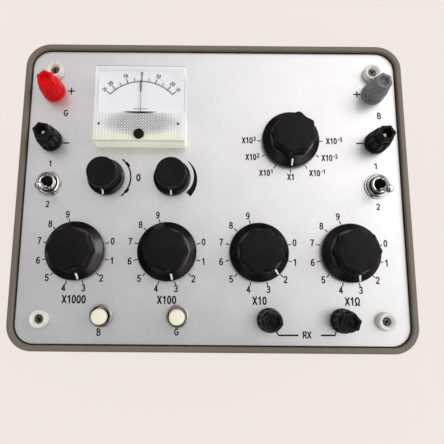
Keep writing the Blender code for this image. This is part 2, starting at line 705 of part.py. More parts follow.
def large_knob():
    """Return a knob with a sloping skirt, a lobed grip and a hollow for the bush nut."""
    count = 4 * KNOB_LOBES
    edge = KNOB_EDGE
    shape = loft(bmesh.new(), [
        circle(KNOB_RADIUS - edge, KNOB_LIFT, count),
        circle(KNOB_RADIUS, KNOB_LIFT + edge, count),
        circle(KNOB_RADIUS, KNOB_LIFT + KNOB_RIM_HEIGHT, count),
        lobed(KNOB_LOBE_RADIUS, KNOB_VALLEY_RADIUS, KNOB_SKIRT_TOP, count),
        lobed(KNOB_LOBE_RADIUS, KNOB_VALLEY_RADIUS, KNOB_HEIGHT - edge, count),
        lobed(KNOB_LOBE_RADIUS - edge, KNOB_VALLEY_RADIUS - edge, KNOB_HEIGHT, count),
    ])
    hollow = bmesh.new()
    recess = NUT_HEIGHT + KNOB_RECESS_GAP
    bore_top = KNOB_HEIGHT - KNOB_TOP_WALL
    add_turned(hollow, [
        (NUT_RADIUS + KNOB_RECESS_GAP, 0.0),
        (NUT_RADIUS + KNOB_RECESS_GAP, recess),
        (SHAFT_RADIUS + CLEARANCE, recess),
        (SHAFT_RADIUS + CLEARANCE, bore_top),
    ], COARSE)
    return combined(shape, hollow, "DIFFERENCE")


def small_knob():
    """Return a fluted knob with a round skirt and a spindle that runs down into its bush."""
    count = 2 * SMALL_KNOB_FLUTES
    edge = KNOB_EDGE
    body = SMALL_KNOB_BODY_RADIUS

    def fluted(radius, height):
        return polar(lambda turn: radius - SMALL_KNOB_FLUTE_DEPTH * (1 + math.cos(SMALL_KNOB_FLUTES * turn)) / 2,
                     height, count)
    shape = loft(bmesh.new(), [
        circle(SMALL_KNOB_RADIUS - edge / 2, KNOB_LIFT, count),
        circle(SMALL_KNOB_RADIUS, KNOB_LIFT + SMALL_KNOB_RIM_HEIGHT, count),
        circle(body + edge, SMALL_KNOB_SKIRT_TOP, count),
        fluted(body, SMALL_KNOB_SKIRT_TOP + edge),
        fluted(body, SMALL_KNOB_HEIGHT - edge),
        circle(body - 2 * edge, SMALL_KNOB_HEIGHT, count),
    ])
    hollow = turned([
        (POT_NUT_RADIUS + KNOB_RECESS_GAP, 0.0),
        (POT_NUT_RADIUS + KNOB_RECESS_GAP, POT_NUT_HEIGHT + KNOB_RECESS_GAP),
    ], COARSE)
    shape = combined(shape, hollow, "DIFFERENCE")
    spindle = turned([(SPINDLE_RADIUS, SPINDLE_END), (SPINDLE_RADIUS, SMALL_KNOB_SKIRT_TOP)], COARSE)
    return combined(shape, spindle, "UNION")


def build_board(finish, black):
    """Board with both potentiometers on it, hung from their bushes, and the small knobs."""
    board_top = UNDER - POT_DEPTH
    board_bottom = board_top - BOARD_THICKNESS
    middle = (ZERO_KNOB_X + SENSITIVITY_KNOB_X) / 2
    length = abs(SENSITIVITY_KNOB_X - ZERO_KNOB_X) + 2 * BOARD_MARGIN
    shape = bmesh.new()
    add_box(shape, length, BOARD_WIDTH, board_bottom, board_top, (middle, SMALL_KNOB_ROW))
    pots = bmesh.new()
    for spot in SMALL_KNOBS.values():
        loft(pots, [circle(r, z, COARSE, spot) for r, z in (
            (SPINDLE_RADIUS + CLEARANCE, SPINDLE_END - CLEARANCE),
            (SPINDLE_RADIUS + CLEARANCE, POT_NUT_HEIGHT),
            (POT_NUT_RADIUS, POT_NUT_HEIGHT),
            (POT_NUT_RADIUS, OVER),
            (POT_BUSH_RADIUS, OVER),
            (POT_BUSH_RADIUS, UNDER),
            (POT_RADIUS, UNDER),
            (POT_RADIUS, (board_top + board_bottom) / 2),
        )])
    shape = combined(shape, pots, "UNION")
    parts = bmesh.new()
    inside = (board_top + board_bottom) / 2
    for side in (-1, 1):
        chip = (middle, SMALL_KNOB_ROW + side * CHIP_SPREAD)
        add_box(parts, CHIP_LENGTH, CHIP_WIDTH, board_bottom - CHIP_HEIGHT, inside, chip)
        can = (middle + side * CAPACITOR_SPREAD, SMALL_KNOB_ROW)
        add_turned(parts, [(CAPACITOR_RADIUS, board_bottom - CAPACITOR_HEIGHT), (CAPACITOR_RADIUS, inside)],
                   COARSE, can)
    shape = combined(shape, parts, "UNION")
    on_panel("amplifier_board", finished_mesh("amplifier_board", shape, finish), (0.0, 0.0))
    mesh = finished_mesh("small_knob", small_knob(), black)
    for name, spot in SMALL_KNOBS.items():
        on_panel(name + "_knob", mesh, spot, -90.0)


def meter_ring(inset, height):
    """Return a ring that follows the meter's outline at a distance inside it."""
    corner = max(METER_CORNER - inset, METER_CORNER / 4)
    return rounded(METER_LENGTH - 2 * inset, METER_WIDTH - 2 * inset, corner, height, steps=3)


def build_meter(clear, black, white, steel):
    """Panel meter: base, magnet, moving coil with needle, dial, cover and zero screw."""
    flange_top = OVER + METER_FLANGE
    barrel_floor = -BARREL_DEPTH + BARREL_WALL
    flange_inset = METER_WALL + CLEARANCE
    offset = (0.0, BARREL_OFFSET)
    base = loft(bmesh.new(), [meter_ring(flange_inset, OVER), meter_ring(flange_inset, flange_top)])
    pieces = [turned([(BARREL_RADIUS, -BARREL_DEPTH), (BARREL_RADIUS, flange_top)], FINE, centre=offset)]
    for side in (-1, 1):
        stud = (side * STUD_SPREAD, STUD_OFFSET)
        pieces.append(turned([(STUD_RADIUS, -STUD_LENGTH), (STUD_RADIUS, flange_top - CLEARANCE)], COARSE,
                             centre=stud))
        pillar = (side * DIAL_PILLAR_SPREAD, dial_middle())
        pieces.append(turned([(DIAL_PILLAR_RADIUS, OVER + CLEARANCE),
                              (DIAL_PILLAR_RADIUS, DIAL_HEIGHT - CLEARANCE)], COARSE, centre=pillar))
    for piece in pieces:
        base = combined(base, piece, "UNION")
    well = turned([(BARREL_RADIUS - BARREL_WALL, barrel_floor), (BARREL_RADIUS - BARREL_WALL, METER_HEIGHT)],
                  FINE, centre=offset)
    base = combined(base, well, "DIFFERENCE")
    on_panel("meter_base", finished_mesh("meter_base", base, black), METER_PLACE)

    yoke_bottom = barrel_floor + CLEARANCE
    yoke_inner = YOKE_RADIUS - YOKE_WALL
    magnet = turned([
        (YOKE_RADIUS, yoke_bottom),
        (YOKE_RADIUS, yoke_bottom + YOKE_HEIGHT),
        (yoke_inner, yoke_bottom + YOKE_HEIGHT),
        (yoke_inner, yoke_bottom + YOKE_WALL),
        (CORE_RADIUS, yoke_bottom + YOKE_WALL),
        (CORE_RADIUS, yoke_bottom + CORE_HEIGHT),
    ], MEDIUM)
    on_panel("meter_magnet", finished_mesh("meter_magnet", magnet, steel), PIVOT_PLACE)
    build_needle(yoke_bottom + CORE_HEIGHT, black)

    dial = loft(bmesh.new(), [rectangle(DIAL_LENGTH, DIAL_WIDTH, DIAL_HEIGHT, (0.0, dial_middle())),
                              rectangle(DIAL_LENGTH, DIAL_WIDTH, DIAL_HEIGHT + DIAL_THICKNESS,
                                        (0.0, dial_middle()))])
    on_panel("meter_dial", finished_mesh("meter_dial", dial, white), METER_PLACE)
    build_meter_cover(clear)
    build_zero_screw(flange_top, black)


def dial_middle():
    """Return the dial's centre line: it fills the window above the sill."""
    return METER_WIDTH / 2 - METER_WALL - CLEARANCE - METER_EDGE - DIAL_WIDTH / 2


def build_needle(core_top, finish):
    """Spindle on the core, coil in the magnet's gap and needle over the dial."""
    web = core_top + 3 * CLEARANCE
    inner = CORE_RADIUS + COIL_GAP
    outer = YOKE_RADIUS - YOKE_WALL - COIL_GAP
    level = DIAL_HEIGHT + DIAL_THICKNESS + NEEDLE_GAP
    shape = turned([
        (NEEDLE_SPINDLE_RADIUS, level + NEEDLE_THICKNESS + NEEDLE_BOSS),
        (NEEDLE_SPINDLE_RADIUS, web + COIL_WEB),
        (outer, web + COIL_WEB),
        (outer, web + COIL_WEB - COIL_HEIGHT),
        (inner, web + COIL_WEB - COIL_HEIGHT),
        (inner, web),
        (NEEDLE_SPINDLE_RADIUS, web),
        (NEEDLE_SPINDLE_RADIUS, core_top + CLEARANCE),
    ], COARSE)

    def blade(height):
        root = NEEDLE_ROOT_WIDTH / 2
        tip = NEEDLE_TIP_WIDTH / 2
        return [(root, -NEEDLE_TAIL, height), (tip, NEEDLE_LENGTH, height),
                (-tip, NEEDLE_LENGTH, height), (-root, -NEEDLE_TAIL, height)]
    needle = loft(bmesh.new(), [blade(level), blade(level + NEEDLE_THICKNESS)])
    shape = combined(shape, needle, "UNION")
    on_panel("meter_needle", finished_mesh("meter_needle", shape, finish), PIVOT_PLACE)


def build_meter_cover(finish):
    """Clear cover: a window over the dial and a thicker ribbed sill below it."""
    shape = loft(bmesh.new(), [
        meter_ring(METER_WALL, METER_HEIGHT - METER_WALL),
        meter_ring(METER_WALL, OVER),
        meter_ring(0.0, OVER),
        meter_ring(0.0, METER_HEIGHT - METER_EDGE),
        meter_ring(METER_EDGE, METER_HEIGHT),
    ])
    sill_length = METER_LENGTH - 2 * METER_EDGE
    sill_middle = (0.0, -METER_WIDTH / 2 + METER_EDGE + METER_SILL_WIDTH / 2)
    sill = bmesh.new()
    add_box(sill, sill_length, METER_SILL_WIDTH, METER_HEIGHT - METER_WALL / 2,
            METER_HEIGHT + METER_SILL_HEIGHT, sill_middle)
    shape = combined(shape, sill, "UNION")
    ribs = bmesh.new()
    pitch = sill_length / (2 * SILL_RIBS - 1)
    for rib in range(SILL_RIBS):
        x = (2 * rib + 0.5) * pitch - sill_length / 2
        add_box(ribs, pitch, METER_SILL_WIDTH - 2 * METER_EDGE, METER_HEIGHT + METER_SILL_HEIGHT / 2,
                METER_HEIGHT + METER_SILL_HEIGHT + SILL_RIB_HEIGHT, (x, sill_middle[1]))
    shape = combined(shape, ribs, "UNION")
    bore = ZERO_SCREW_SHANK + CLEARANCE
    seat = METER_HEIGHT + METER_SILL_HEIGHT
    hole = turned([
        (bore, METER_HEIGHT / 2),
        (bore, seat),
        (ZERO_SCREW_RADIUS + CLEARANCE, seat),
        (ZERO_SCREW_RADIUS + CLEARANCE, METER_HEIGHT * 2),
    ], MEDIUM, centre=(0.0, ZERO_SCREW_OFFSET))
    shape = combined(shape, hole, "DIFFERENCE")
    on_panel("meter_cover", finished_mesh("meter_cover", shape, finish), METER_PLACE)


def build_zero_screw(flange_top, finish):
    """Slotted screw in the cover that sets the needle's rest."""
    seat = METER_HEIGHT + METER_SILL_HEIGHT + CLEARANCE
    shape = turned([
        (ZERO_SCREW_SHANK, flange_top + CLEARANCE),
        (ZERO_SCREW_SHANK, seat),
        (ZERO_SCREW_RADIUS, seat),
        (ZERO_SCREW_RADIUS, seat + ZERO_SCREW_HEAD / 2),
        (ZERO_SCREW_RADIUS - ZERO_SCREW_EDGE, seat + ZERO_SCREW_HEAD),
    ], MEDIUM)
    slot = bmesh.new()
    add_box(slot, 3 * ZERO_SCREW_RADIUS, ZERO_SCREW_SLOT, seat + ZERO_SCREW_HEAD / 2, seat + 2 * ZERO_SCREW_HEAD)
    shape = combined(shape, slot, "DIFFERENCE")
    on_panel("meter_zero_screw", finished_mesh("meter_zero_screw", shape, finish), ZERO_SCREW_PLACE)


def build_toggles(steel, chrome):
    """Toggle switches: body clamped through the panel and a bat lever on a ball."""
    def body_ring(height):
        return rounded(TOGGLE_BODY_LENGTH, TOGGLE_BODY_WIDTH, TOGGLE_BODY_CORNER, height, steps=2)
    cavity = LEVER_BALL + LEVER_NECK
    throat = LEVER_BALL + CLEARANCE
    bush = TOGGLE_BUSH_RADIUS
    nut = TOGGLE_NUT_RADIUS
    nut_top = OVER + TOGGLE_NUT_HEIGHT
    rings = [circle(r, z, MEDIUM) for r, z in (
        (cavity, UNDER - TOGGLE_CAVITY_DEPTH),
        (cavity, TOGGLE_PIVOT - LEVER_BALL),
        (throat, TOGGLE_PIVOT),
        (TOGGLE_MOUTH, TOGGLE_BUSH_HEIGHT),
        (bush, TOGGLE_BUSH_HEIGHT),
        (bush, nut_top),
        (nut - TOGGLE_NUT_ROUND, nut_top),
        (nut, nut_top - TOGGLE_NUT_ROUND),
        (nut, OVER),
        (bush, OVER),
        (bush, UNDER),
    )]
    rings += [body_ring(UNDER), body_ring(UNDER - TOGGLE_BODY_DEPTH)]
    body_mesh = finished_mesh("toggle_body", loft(bmesh.new(), rings), steel)

    tip = LEVER_HEIGHT - TOGGLE_PIVOT
    lever = turned([
        (LEVER_NECK, -LEVER_TAIL),
        (LEVER_NECK, -LEVER_BALL),
        *arc(LEVER_BALL, 0.0, 40, 140, 4),
        (LEVER_NECK, LEVER_BALL),
        (LEVER_THROAT, tip - LEVER_TIP_LENGTH),
        *arc(LEVER_TIP, tip - LEVER_TIP, 90, 165, 3),
    ], COARSE)
    lever_mesh = finished_mesh("toggle_lever", lever, chrome)
    for name, spot in TOGGLES.items():
        on_panel(name + "_toggle_body", body_mesh, spot)
        thing = place(name + "_toggle_lever", lever_mesh, (spot[0], spot[1], PANEL_TOP + TOGGLE_PIVOT))
        thing.rotation_euler.x = math.radians(TOGGLE_LEAN)


def build_buttons(chrome, cream):
    """Push-buttons: bezel with its thread and nut, and the sprung cap."""
    stem_bore = BUTTON_STEM_RADIUS + CLEARANCE
    cup = BEZEL_RADIUS - BEZEL_WALL
    nut_bottom = UNDER - BUTTON_NUT_HEIGHT
    housing = turned([
        (stem_bore, UNDER - BUTTON_THREAD_LENGTH + BEZEL_WALL),
        (stem_bore, OVER + BEZEL_FLOOR),
        (cup, OVER + BEZEL_FLOOR),
        (cup, BEZEL_HEIGHT),
        (BEZEL_RADIUS - BEZEL_WALL / 2, BEZEL_HEIGHT),
        (BEZEL_RADIUS, BEZEL_HEIGHT - BEZEL_WALL / 2),
        (BEZEL_RADIUS, OVER),
        (BUTTON_THREAD_RADIUS, OVER),
        (BUTTON_THREAD_RADIUS, UNDER),
        (BUTTON_NUT_RADIUS, UNDER),
        (BUTTON_NUT_RADIUS, nut_bottom),
        (BUTTON_THREAD_RADIUS, nut_bottom),
        (BUTTON_THREAD_RADIUS, UNDER - BUTTON_THREAD_LENGTH),
    ], MEDIUM)
    housing_mesh = finished_mesh("button_housing", housing, chrome)

    rim = OVER + BEZEL_FLOOR + BUTTON_TRAVEL + CLEARANCE
    radius = cup - CLEARANCE
    cap = turned([
        (BUTTON_STEM_RADIUS, rim - BUTTON_STEM_LENGTH),
        (BUTTON_STEM_RADIUS, rim),
        (radius, rim),
        (radius, BUTTON_HEIGHT - BUTTON_ROUND),
        (radius - BUTTON_ROUND / 3, BUTTON_HEIGHT - BUTTON_ROUND / 3),
        (radius - BUTTON_ROUND, BUTTON_HEIGHT),
    ], MEDIUM)
    cap_mesh = finished_mesh("button_cap", cap, cream)
    for name, spot in BUTTONS.items():
        on_panel(name + "_button_housing", housing_mesh, spot)
        on_panel(name + "_button_cap", cap_mesh, spot)


def post_base():
    """Return a moulded collar on a socketed stem, with its nut under the panel."""
    nut_bottom = UNDER - POST_NUT_HEIGHT
    return turned([
        (SOCKET_RADIUS, STEM_TOP - SOCKET_DEPTH),
        (SOCKET_RADIUS, STEM_TOP),
        (STEM_RADIUS, STEM_TOP),
        (STEM_RADIUS, POST_COLLAR_HEIGHT),
        (POST_COLLAR_RADIUS, POST_COLLAR_HEIGHT),
        (POST_COLLAR_RADIUS, OVER),
        (POST_BUSH_RADIUS, OVER),
        (POST_BUSH_RADIUS, UNDER),
        (POST_NUT_RADIUS, UNDER),
        (POST_NUT_RADIUS, nut_bottom),
        (STEM_RADIUS, nut_bottom),
        (STEM_RADIUS, STEM_BOTTOM),
    ], COARSE)


def post_cap():
    """Return a screw cap: fluted foot, head with six hollow sides and a mouth over the socket."""
    count = 2 * CAP_FLUTES
    bottom = POST_COLLAR_HEIGHT + CLAMP_THICKNESS + 2 * CLEARANCE
    bore = STEM_RADIUS + CLEARANCE

    def fluted(radius, height):
        return polar(lambda turn: radius - CAP_FLUTE_DEPTH * (1 + math.cos(CAP_FLUTES * turn)) / 2, height, count)

    def head(radius, height):
        return polar(lambda turn: radius - CAP_HEAD_HOLLOW * math.sin(3 * turn) ** 2, height, count)
    return loft(bmesh.new(), [
        circle(CAP_RADIUS - CAP_EDGE, bottom, count),
        fluted(CAP_RADIUS, bottom + CAP_EDGE),
        fluted(CAP_SHOULDER_RADIUS, CAP_SHOULDER),
        head(CAP_HEAD_RADIUS, CAP_HEAD_START),
        head(CAP_HEAD_RADIUS, CAP_TOP - CAP_EDGE),
        head(CAP_HEAD_RADIUS - CAP_EDGE, CAP_TOP),
        circle(CAP_MOUTH, CAP_TOP, count),
        circle(CAP_MOUTH, CAP_TOP - CAP_MOUTH_DEPTH, count),
        circle(bore, CAP_TOP - CAP_MOUTH_DEPTH, count),
        circle(bore, bottom, count),
    ], closed=True)


def build_posts(brass, colours):
    """Binding posts: base, lifting clamp washer and screw cap."""
    inner = STEM_RADIUS + CLEARANCE
    low = POST_COLLAR_HEIGHT + CLEARANCE
    high = low + CLAMP_THICKNESS
    washer = turned([(inner, low), (CLAMP_RADIUS, low), (CLAMP_RADIUS, high), (inner, high)], COARSE, closed=True)
    washer_mesh = finished_mesh("post_clamp", washer, brass)
    for name, spot in POSTS.items():
        colour = colours.get(name, colours["other"])
        on_panel(name + "_base", finished_mesh(name + "_base", post_base(), colour), spot)
        on_panel(name + "_clamp", washer_mesh, spot)
        on_panel(name + "_cap", finished_mesh(name + "_cap", post_cap(), colour), spot)


def main():
    """Clear the scene and build every piece."""
    for thing in list(bpy.data.objects):
        bpy.data.objects.remove(thing, do_unlink=True)
    taupe = material("taupe_moulding", (0.23, 0.19, 0.135), 0.5)
    aluminium = material("satin_aluminium", (0.75, 0.75, 0.74), 0.4, 0.8)
    black = material("black_moulding", (0.012, 0.011, 0.012), 0.35)
    cream = material("cream_moulding", (0.85, 0.79, 0.62), 0.4)
    red = material("red_moulding", (0.55, 0.01, 0.015), 0.35)
    grey = material("grey_moulding", (0.12, 0.12, 0.12), 0.4)
    clear = material("clear_acrylic", (0.9, 0.92, 0.92), 0.08)
    white = material("white_dial", (0.9, 0.9, 0.9), 0.5)
    chrome = material("chrome", (0.8, 0.8, 0.8), 0.1, 1.0)
    steel = material("plated_steel", (0.55, 0.55, 0.55), 0.35, 1.0)
    brass = material("brass", (0.72, 0.52, 0.22), 0.3, 1.0)
    phenolic = material("phenolic", (0.30, 0.15, 0.06), 0.6)
    board = material("board_green", (0.03, 0.16, 0.07), 0.5)
    wrap = material("battery_wrap", (0.10, 0.13, 0.30), 0.45)
    build_case(taupe)
    build_battery_cover(taupe)
    build_batteries(wrap, black)
    build_panel(aluminium)
    build_screw_cups(cream)
    build_switches(phenolic, steel, black)
    build_board(board, black)
    build_meter(clear, black, white, steel)
    build_toggles(steel, chrome)
    build_buttons(chrome, cream)
    build_posts(brass, {"red_post": red, "grey_post": grey, "other": black})


main()
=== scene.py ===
"""Dressed model of a portable direct-current resistance bridge, in metres, +Z up."""
import math

import bmesh
import bpy
from mathutils import Matrix, Vector


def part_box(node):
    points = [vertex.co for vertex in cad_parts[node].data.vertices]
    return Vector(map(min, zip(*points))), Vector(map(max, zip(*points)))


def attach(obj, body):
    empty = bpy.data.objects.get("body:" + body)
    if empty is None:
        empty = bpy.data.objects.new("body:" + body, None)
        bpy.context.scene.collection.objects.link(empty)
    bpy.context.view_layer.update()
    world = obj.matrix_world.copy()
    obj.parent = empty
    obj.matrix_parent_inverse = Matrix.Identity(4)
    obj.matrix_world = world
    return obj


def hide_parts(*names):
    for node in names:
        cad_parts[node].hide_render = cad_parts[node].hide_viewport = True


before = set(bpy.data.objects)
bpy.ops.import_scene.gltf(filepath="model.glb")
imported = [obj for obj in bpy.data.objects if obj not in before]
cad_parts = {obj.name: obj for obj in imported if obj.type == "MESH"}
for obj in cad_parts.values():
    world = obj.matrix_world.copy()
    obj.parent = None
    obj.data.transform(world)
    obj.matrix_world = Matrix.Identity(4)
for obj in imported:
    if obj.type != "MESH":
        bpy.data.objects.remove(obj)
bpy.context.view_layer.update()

# Front panel; the heights of what stands on it are measured from its upper face
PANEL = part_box("front_panel")[1].z
PANEL_THICKNESS = 0.002
PANEL_GAP = 0.0003
PLATE_EDGE = 0.00025
PLATE_STEPS = 12
PRINT_HEIGHT = 0.00004

# Case: its rounded edges, its feet and the ledge under the panel
CASE_CORNER = 0.018
CASE_WALL = 0.004
CASE_DRAFT = 0.003
CASE_STEPS = 14
RIM_ROUND = 0.0012
BASE_ROUND = 0.003
LEDGE_WIDTH = 0.003
LEDGE_DEPTH = 0.006
TUB_DRAFT = 0.001
TUB_FLOOR = 0.004
FOOT_HEIGHT = 0.003
FOOT_RADIUS = 0.008
FOOT_ROUND = 0.001
FOOT_DIMPLE = 0.0022
FOOT_SPOT = (0.112, 0.084)
# A black band round the panel's edge: painted shade of the gap between panel and case
RIM_SHADE_WIDTH = 0.0007
RIM_SHADE_DEPTH = 0.0003
RIM_SHADE_RISE = 0.0004

# Battery door; a screw is given by its radius and the height of its head
DOOR_CORNER = 0.004
DOOR_GAP = 0.0003
DOOR_EDGE = 0.0004
DOOR_SCREW = (0.0030, 0.0010)
DOOR_SCREW_INSET = 0.006
DOOR_SCREW_DROP = 0.0006
GRIP_COUNT = 6
GRIP_PITCH = 0.003
GRIP_WIDTH = 0.001
GRIP_LENGTH = 0.018
GRIP_RISE = 0.0005
GRIP_ROUND = 0.0002

# Corner cups; the third number of their screws is where the head's top lies
CUPS = ("screw_cup_front_left", "screw_cup_front_right", "screw_cup_rear_left", "screw_cup_rear_right")
CUP_SCREW = (0.0028, 0.0016, 0.0030)
CUP_SCREW_TURN = 20.0
CUP_SCREW_TURN_STEP = 37.0
# A screw's dome: shares of its radius, and of its head's height below the top
SCREW_DOME = ((0.98, 1.0), (1.0, 0.75), (0.97, 0.45), (0.80, 0.15), (0.50, 0.03), (0.1, 0.0))

# Radii of the holes in the panel
BUSH_HOLE = 0.0049
POT_HOLE = 0.0048
TOGGLE_HOLE = 0.0064
BUTTON_HOLE = 0.0063
POST_HOLE = 0.0045
SCREW_HOLE = 0.0022
BARREL_HOLE = 0.0218

# Large knobs: the skirt runs from the rim up to the grip's foot; turns are where the pointers stand
KNOB_LIFT = 0.0008
KNOB_RADIUS = 0.0206
KNOB_RIM = 0.0048
KNOB_FOOT = 0.0085
KNOB_TOP = 0.0195
KNOB_TIP = 0.0155
KNOB_BORE = 0.0078
KNOB_HOLLOW = 0.0017
KNOB_LOBES = 8
LOBE_OFFSET = 9.0
POINTER_WIDTH = 0.0013
POINTER_START = 0.0160
POINTER_END = 0.0200
KNOB_TURNS = {"x1000": -79.5, "x100": -78.0, "x10": -50.0, "x1": -77.0, "ratio": -90.0}

# Small knobs
SMALL_RADIUS = 0.0133
SMALL_RIM = 0.0026
SMALL_FOOT = 0.0044
SMALL_BODY = 0.0109
SMALL_TOP = 0.0175
SMALL_BORE = 0.0034
SMALL_TEETH = 30
SMALL_TOOTH = 0.0007
SMALL_POINTER = 0.0012
SMALL_TURNS = {"zero": -96.0, "sensitivity": -92.0}

# Toggles: from the lever's middle to the bush's axis, its lean, and how far parts lie under the panel
LEVER_REACH = 0.00275
TOGGLE_LEAN = 15.5
TOGGLE_BODY_DROP = 0.0024
TOGGLE_PIVOT_DROP = 0.0035

# Push-buttons: how far each loose cap sits off its bezel's axis
CAP_SHIFTS = {"b": (-0.0004, -0.0005), "g": (-0.0002, -0.0005)}

# Meter, from its own middle
METER_LENGTH = 0.0656
METER_WIDTH = 0.057
METER_HEIGHT = 0.014
METER_CORNER = 0.0016
METER_EDGE = 0.0010
METER_WALL = 0.0016
METER_SEAT = 0.0003
BARREL_OFFSET = -0.0050
SILL_TOP = -0.0073
SILL_RISE = 0.0008
RIB_PITCH = 0.0021
RIB_COUNT = 29
RIB_FOOT = 0.010
SILL_PINS = ((-0.0282, -0.0162), (0.0273, -0.0161))
# Places along the sill's far edge, how far its dark line of painted shadow hangs below that edge, and its
# width there
SILL_SHADOW = ((-0.0118, 0.0001, 0.0002), (-0.0075, 0.0003, 0.0008), (-0.003, 0.0004, 0.0012),
             (0.0, 0.0004, 0.0013), (0.003, 0.0004, 0.0012), (0.0075, 0.0003, 0.0008),
             (0.0118, 0.0001, 0.0002))
ZERO_SCREW_RADIUS = 0.0036
ZERO_SCREW_TOP = 0.0167

# Sill, in places on the panel: its dots fill an oval, and its cream near edge fades over a band of y
DOT_PITCH = 0.0020
DOT_MIDDLE = (-0.0520, 0.0452)
DOT_REACH = (0.0265, 0.0098)
CREAM_EDGE = (0.038, 0.043)

# Dial; a scale number has its height and its distance outside the arc
DIAL_LEVEL = 0.0086
DIAL_THICKNESS = 0.0008
DIAL_INSET = 0.0019
PIVOT_OFFSET = -0.0117
SCALE_RADIUS = 0.0303
SCALE_HALF = 47.4
UNIT_TURN = 1.91
SCALE_NUMBERS = ((0, 0.0028, 0.0062), (10, 0.0029, 0.0062), (20, 0.0029, 0.0062), (25, 0.0024, 0.0058))
SCALE_WIDTH = 0.0006
# Marks on the scale: their reach and width
ZERO_TICK = (0.0046, 0.0008)
NUMBER_TICK = (0.0038, 0.00070)
FIFTH_TICK = (0.0030, 0.00055)
UNIT_TICK = (0.0012, 0.00022)
# Needle and the blade at its end: where each starts and ends, and its width there
NEEDLE = (-0.0060, 0.0226, 0.0003, 0.00018)
NEEDLE_BLADE = (0.0222, 0.0308, 0.0009, 0.0011)
NEEDLE_LEVELS = (0.0094, 0.0098)
NEEDLE_TURN = 1.0

# Digits and marks round the knobs
DECADE_LABELS = {"x1000": "X1000", "x100": "X100", "x10": "X10", "x1": "X1Ω"}
DECADE_START = 15.0
DECADE_STEP = 30.0
DIGIT_RADIUS = 0.0267
DIGIT_HEIGHT = 0.0047
DIGIT_SHIFT = 0.0003
MARK_START = 0.0212
MARK_END = 0.0240
MARK_WIDTH = 0.0007

# Line round the zero knob with a barb at each end, and the wedge round the sensitivity knob
ZERO_ARC = 0.0176
ZERO_ARC_END = 50
ZERO_DIGIT = (0.0052, 0.0232)
BARB_TIP = 38.0
BARB_ROOT = 26.0
BARB_OUT = 0.0014
BARB_WIDTHS = [0.0004, 0.0026]
WEDGE_ARC = 0.0168
WEDGE_ENDS = (48, -46)
WEDGE_POINTS = 40
WEDGE_THIN = 0.0005
WEDGE_GROWTH = 0.0039

# Other print on the panel, each with its place from the panel's middle
LABEL_HEIGHT = 0.0055
LABEL_LINE = -0.0772
SIGN_HEIGHT = 0.0046
POWER_HEIGHT = 0.0032
SIGN_ARM = 0.0022
SIGN_WIDTH = 0.0010
LINE_WIDTH = 0.0011
TOGGLE_DIGIT = 0.0044
TOGGLE_DIGIT_OFFSET = 0.0150
RATIO_LABELS = (("X10", "3", 0.0266, 0.0383), ("X10", "2", 0.0291, 0.0256), ("X10", "1", 0.0389, 0.0138),
                ("X1", "", 0.0562, 0.0109), ("X10", "-1", 0.0756, 0.0139), ("X10", "-2", 0.0849, 0.0254),
                ("X10", "-3", 0.0887, 0.0382))
POST_SIGNS = (("+", -0.1059, 0.0756), ("-", -0.1076, 0.0351), ("+", 0.1070, 0.0748), ("-", 0.1072, 0.0367))
PLAIN_WORDS = (("G", 0.0048, -0.1089, 0.0582), ("B", 0.0048, 0.1225, 0.0580),
               ("B", 0.0046, -0.0776, -0.0991), ("G", 0.0046, -0.0245, -0.0986),
               ("RX", 0.0046, 0.0643, -0.0999))
RX_LINES = (((0.0436, -0.0982), (0.0450, -0.1003), (0.0580, -0.1002)),
            ((0.0850, -0.0953), (0.0833, -0.1000), (0.0742, -0.1001)))

# Studio
CAMERA_SPOT = (-0.00917, -0.072257, 0.40811)
CAMERA_TILT = 9.305
CAMERA_ROLL = 0.482
CAMERA_LENS = 35.11
CAMERA_SHIFT = 0.0495
WINDOW_SPOT = (1.25, 0.40, 0.92)
WINDOW_SIZE = (1.0, 0.7)
WINDOW_POWER = 7.0
PALE = (0.900, 0.810, 0.774)


def mm(*points):
    """Return points given in millimetres as points in metres."""
    return [tuple(part * 0.001 for part in point) for point in points]


def middle(node):
    """Return the middle of a node seen from above, at the panel's upper face."""
    low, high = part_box(node)
    return Vector(((low.x + high.x) / 2, (low.y + high.y) / 2, PANEL))


def operator(operation, swapped=False):
    """Return a method that joins a wire and another value in a sum."""
    def method(self, other):
        first, second = (other, self) if swapped else (self, other)
        return self.sum(operation, first, second)
    return method


class Wire:
    """The output of a node, ready for sums."""

    def __init__(self, graph, socket):
        self.graph = graph
        self.socket = socket

    def sum(self, operation, first, second=0.0):
        """Join two values by a Math node."""
        return self.graph.add("ShaderNodeMath", {"operation": operation}, {0: first, 1: second})

    __add__ = operator("ADD")
    __radd__ = operator("ADD", swapped=True)
    __sub__ = operator("SUBTRACT")
    __rsub__ = operator("SUBTRACT", swapped=True)
    __mul__ = operator("MULTIPLY")
    __rmul__ = operator("MULTIPLY", swapped=True)
    __truediv__ = operator("DIVIDE")
    __pow__ = operator("POWER")


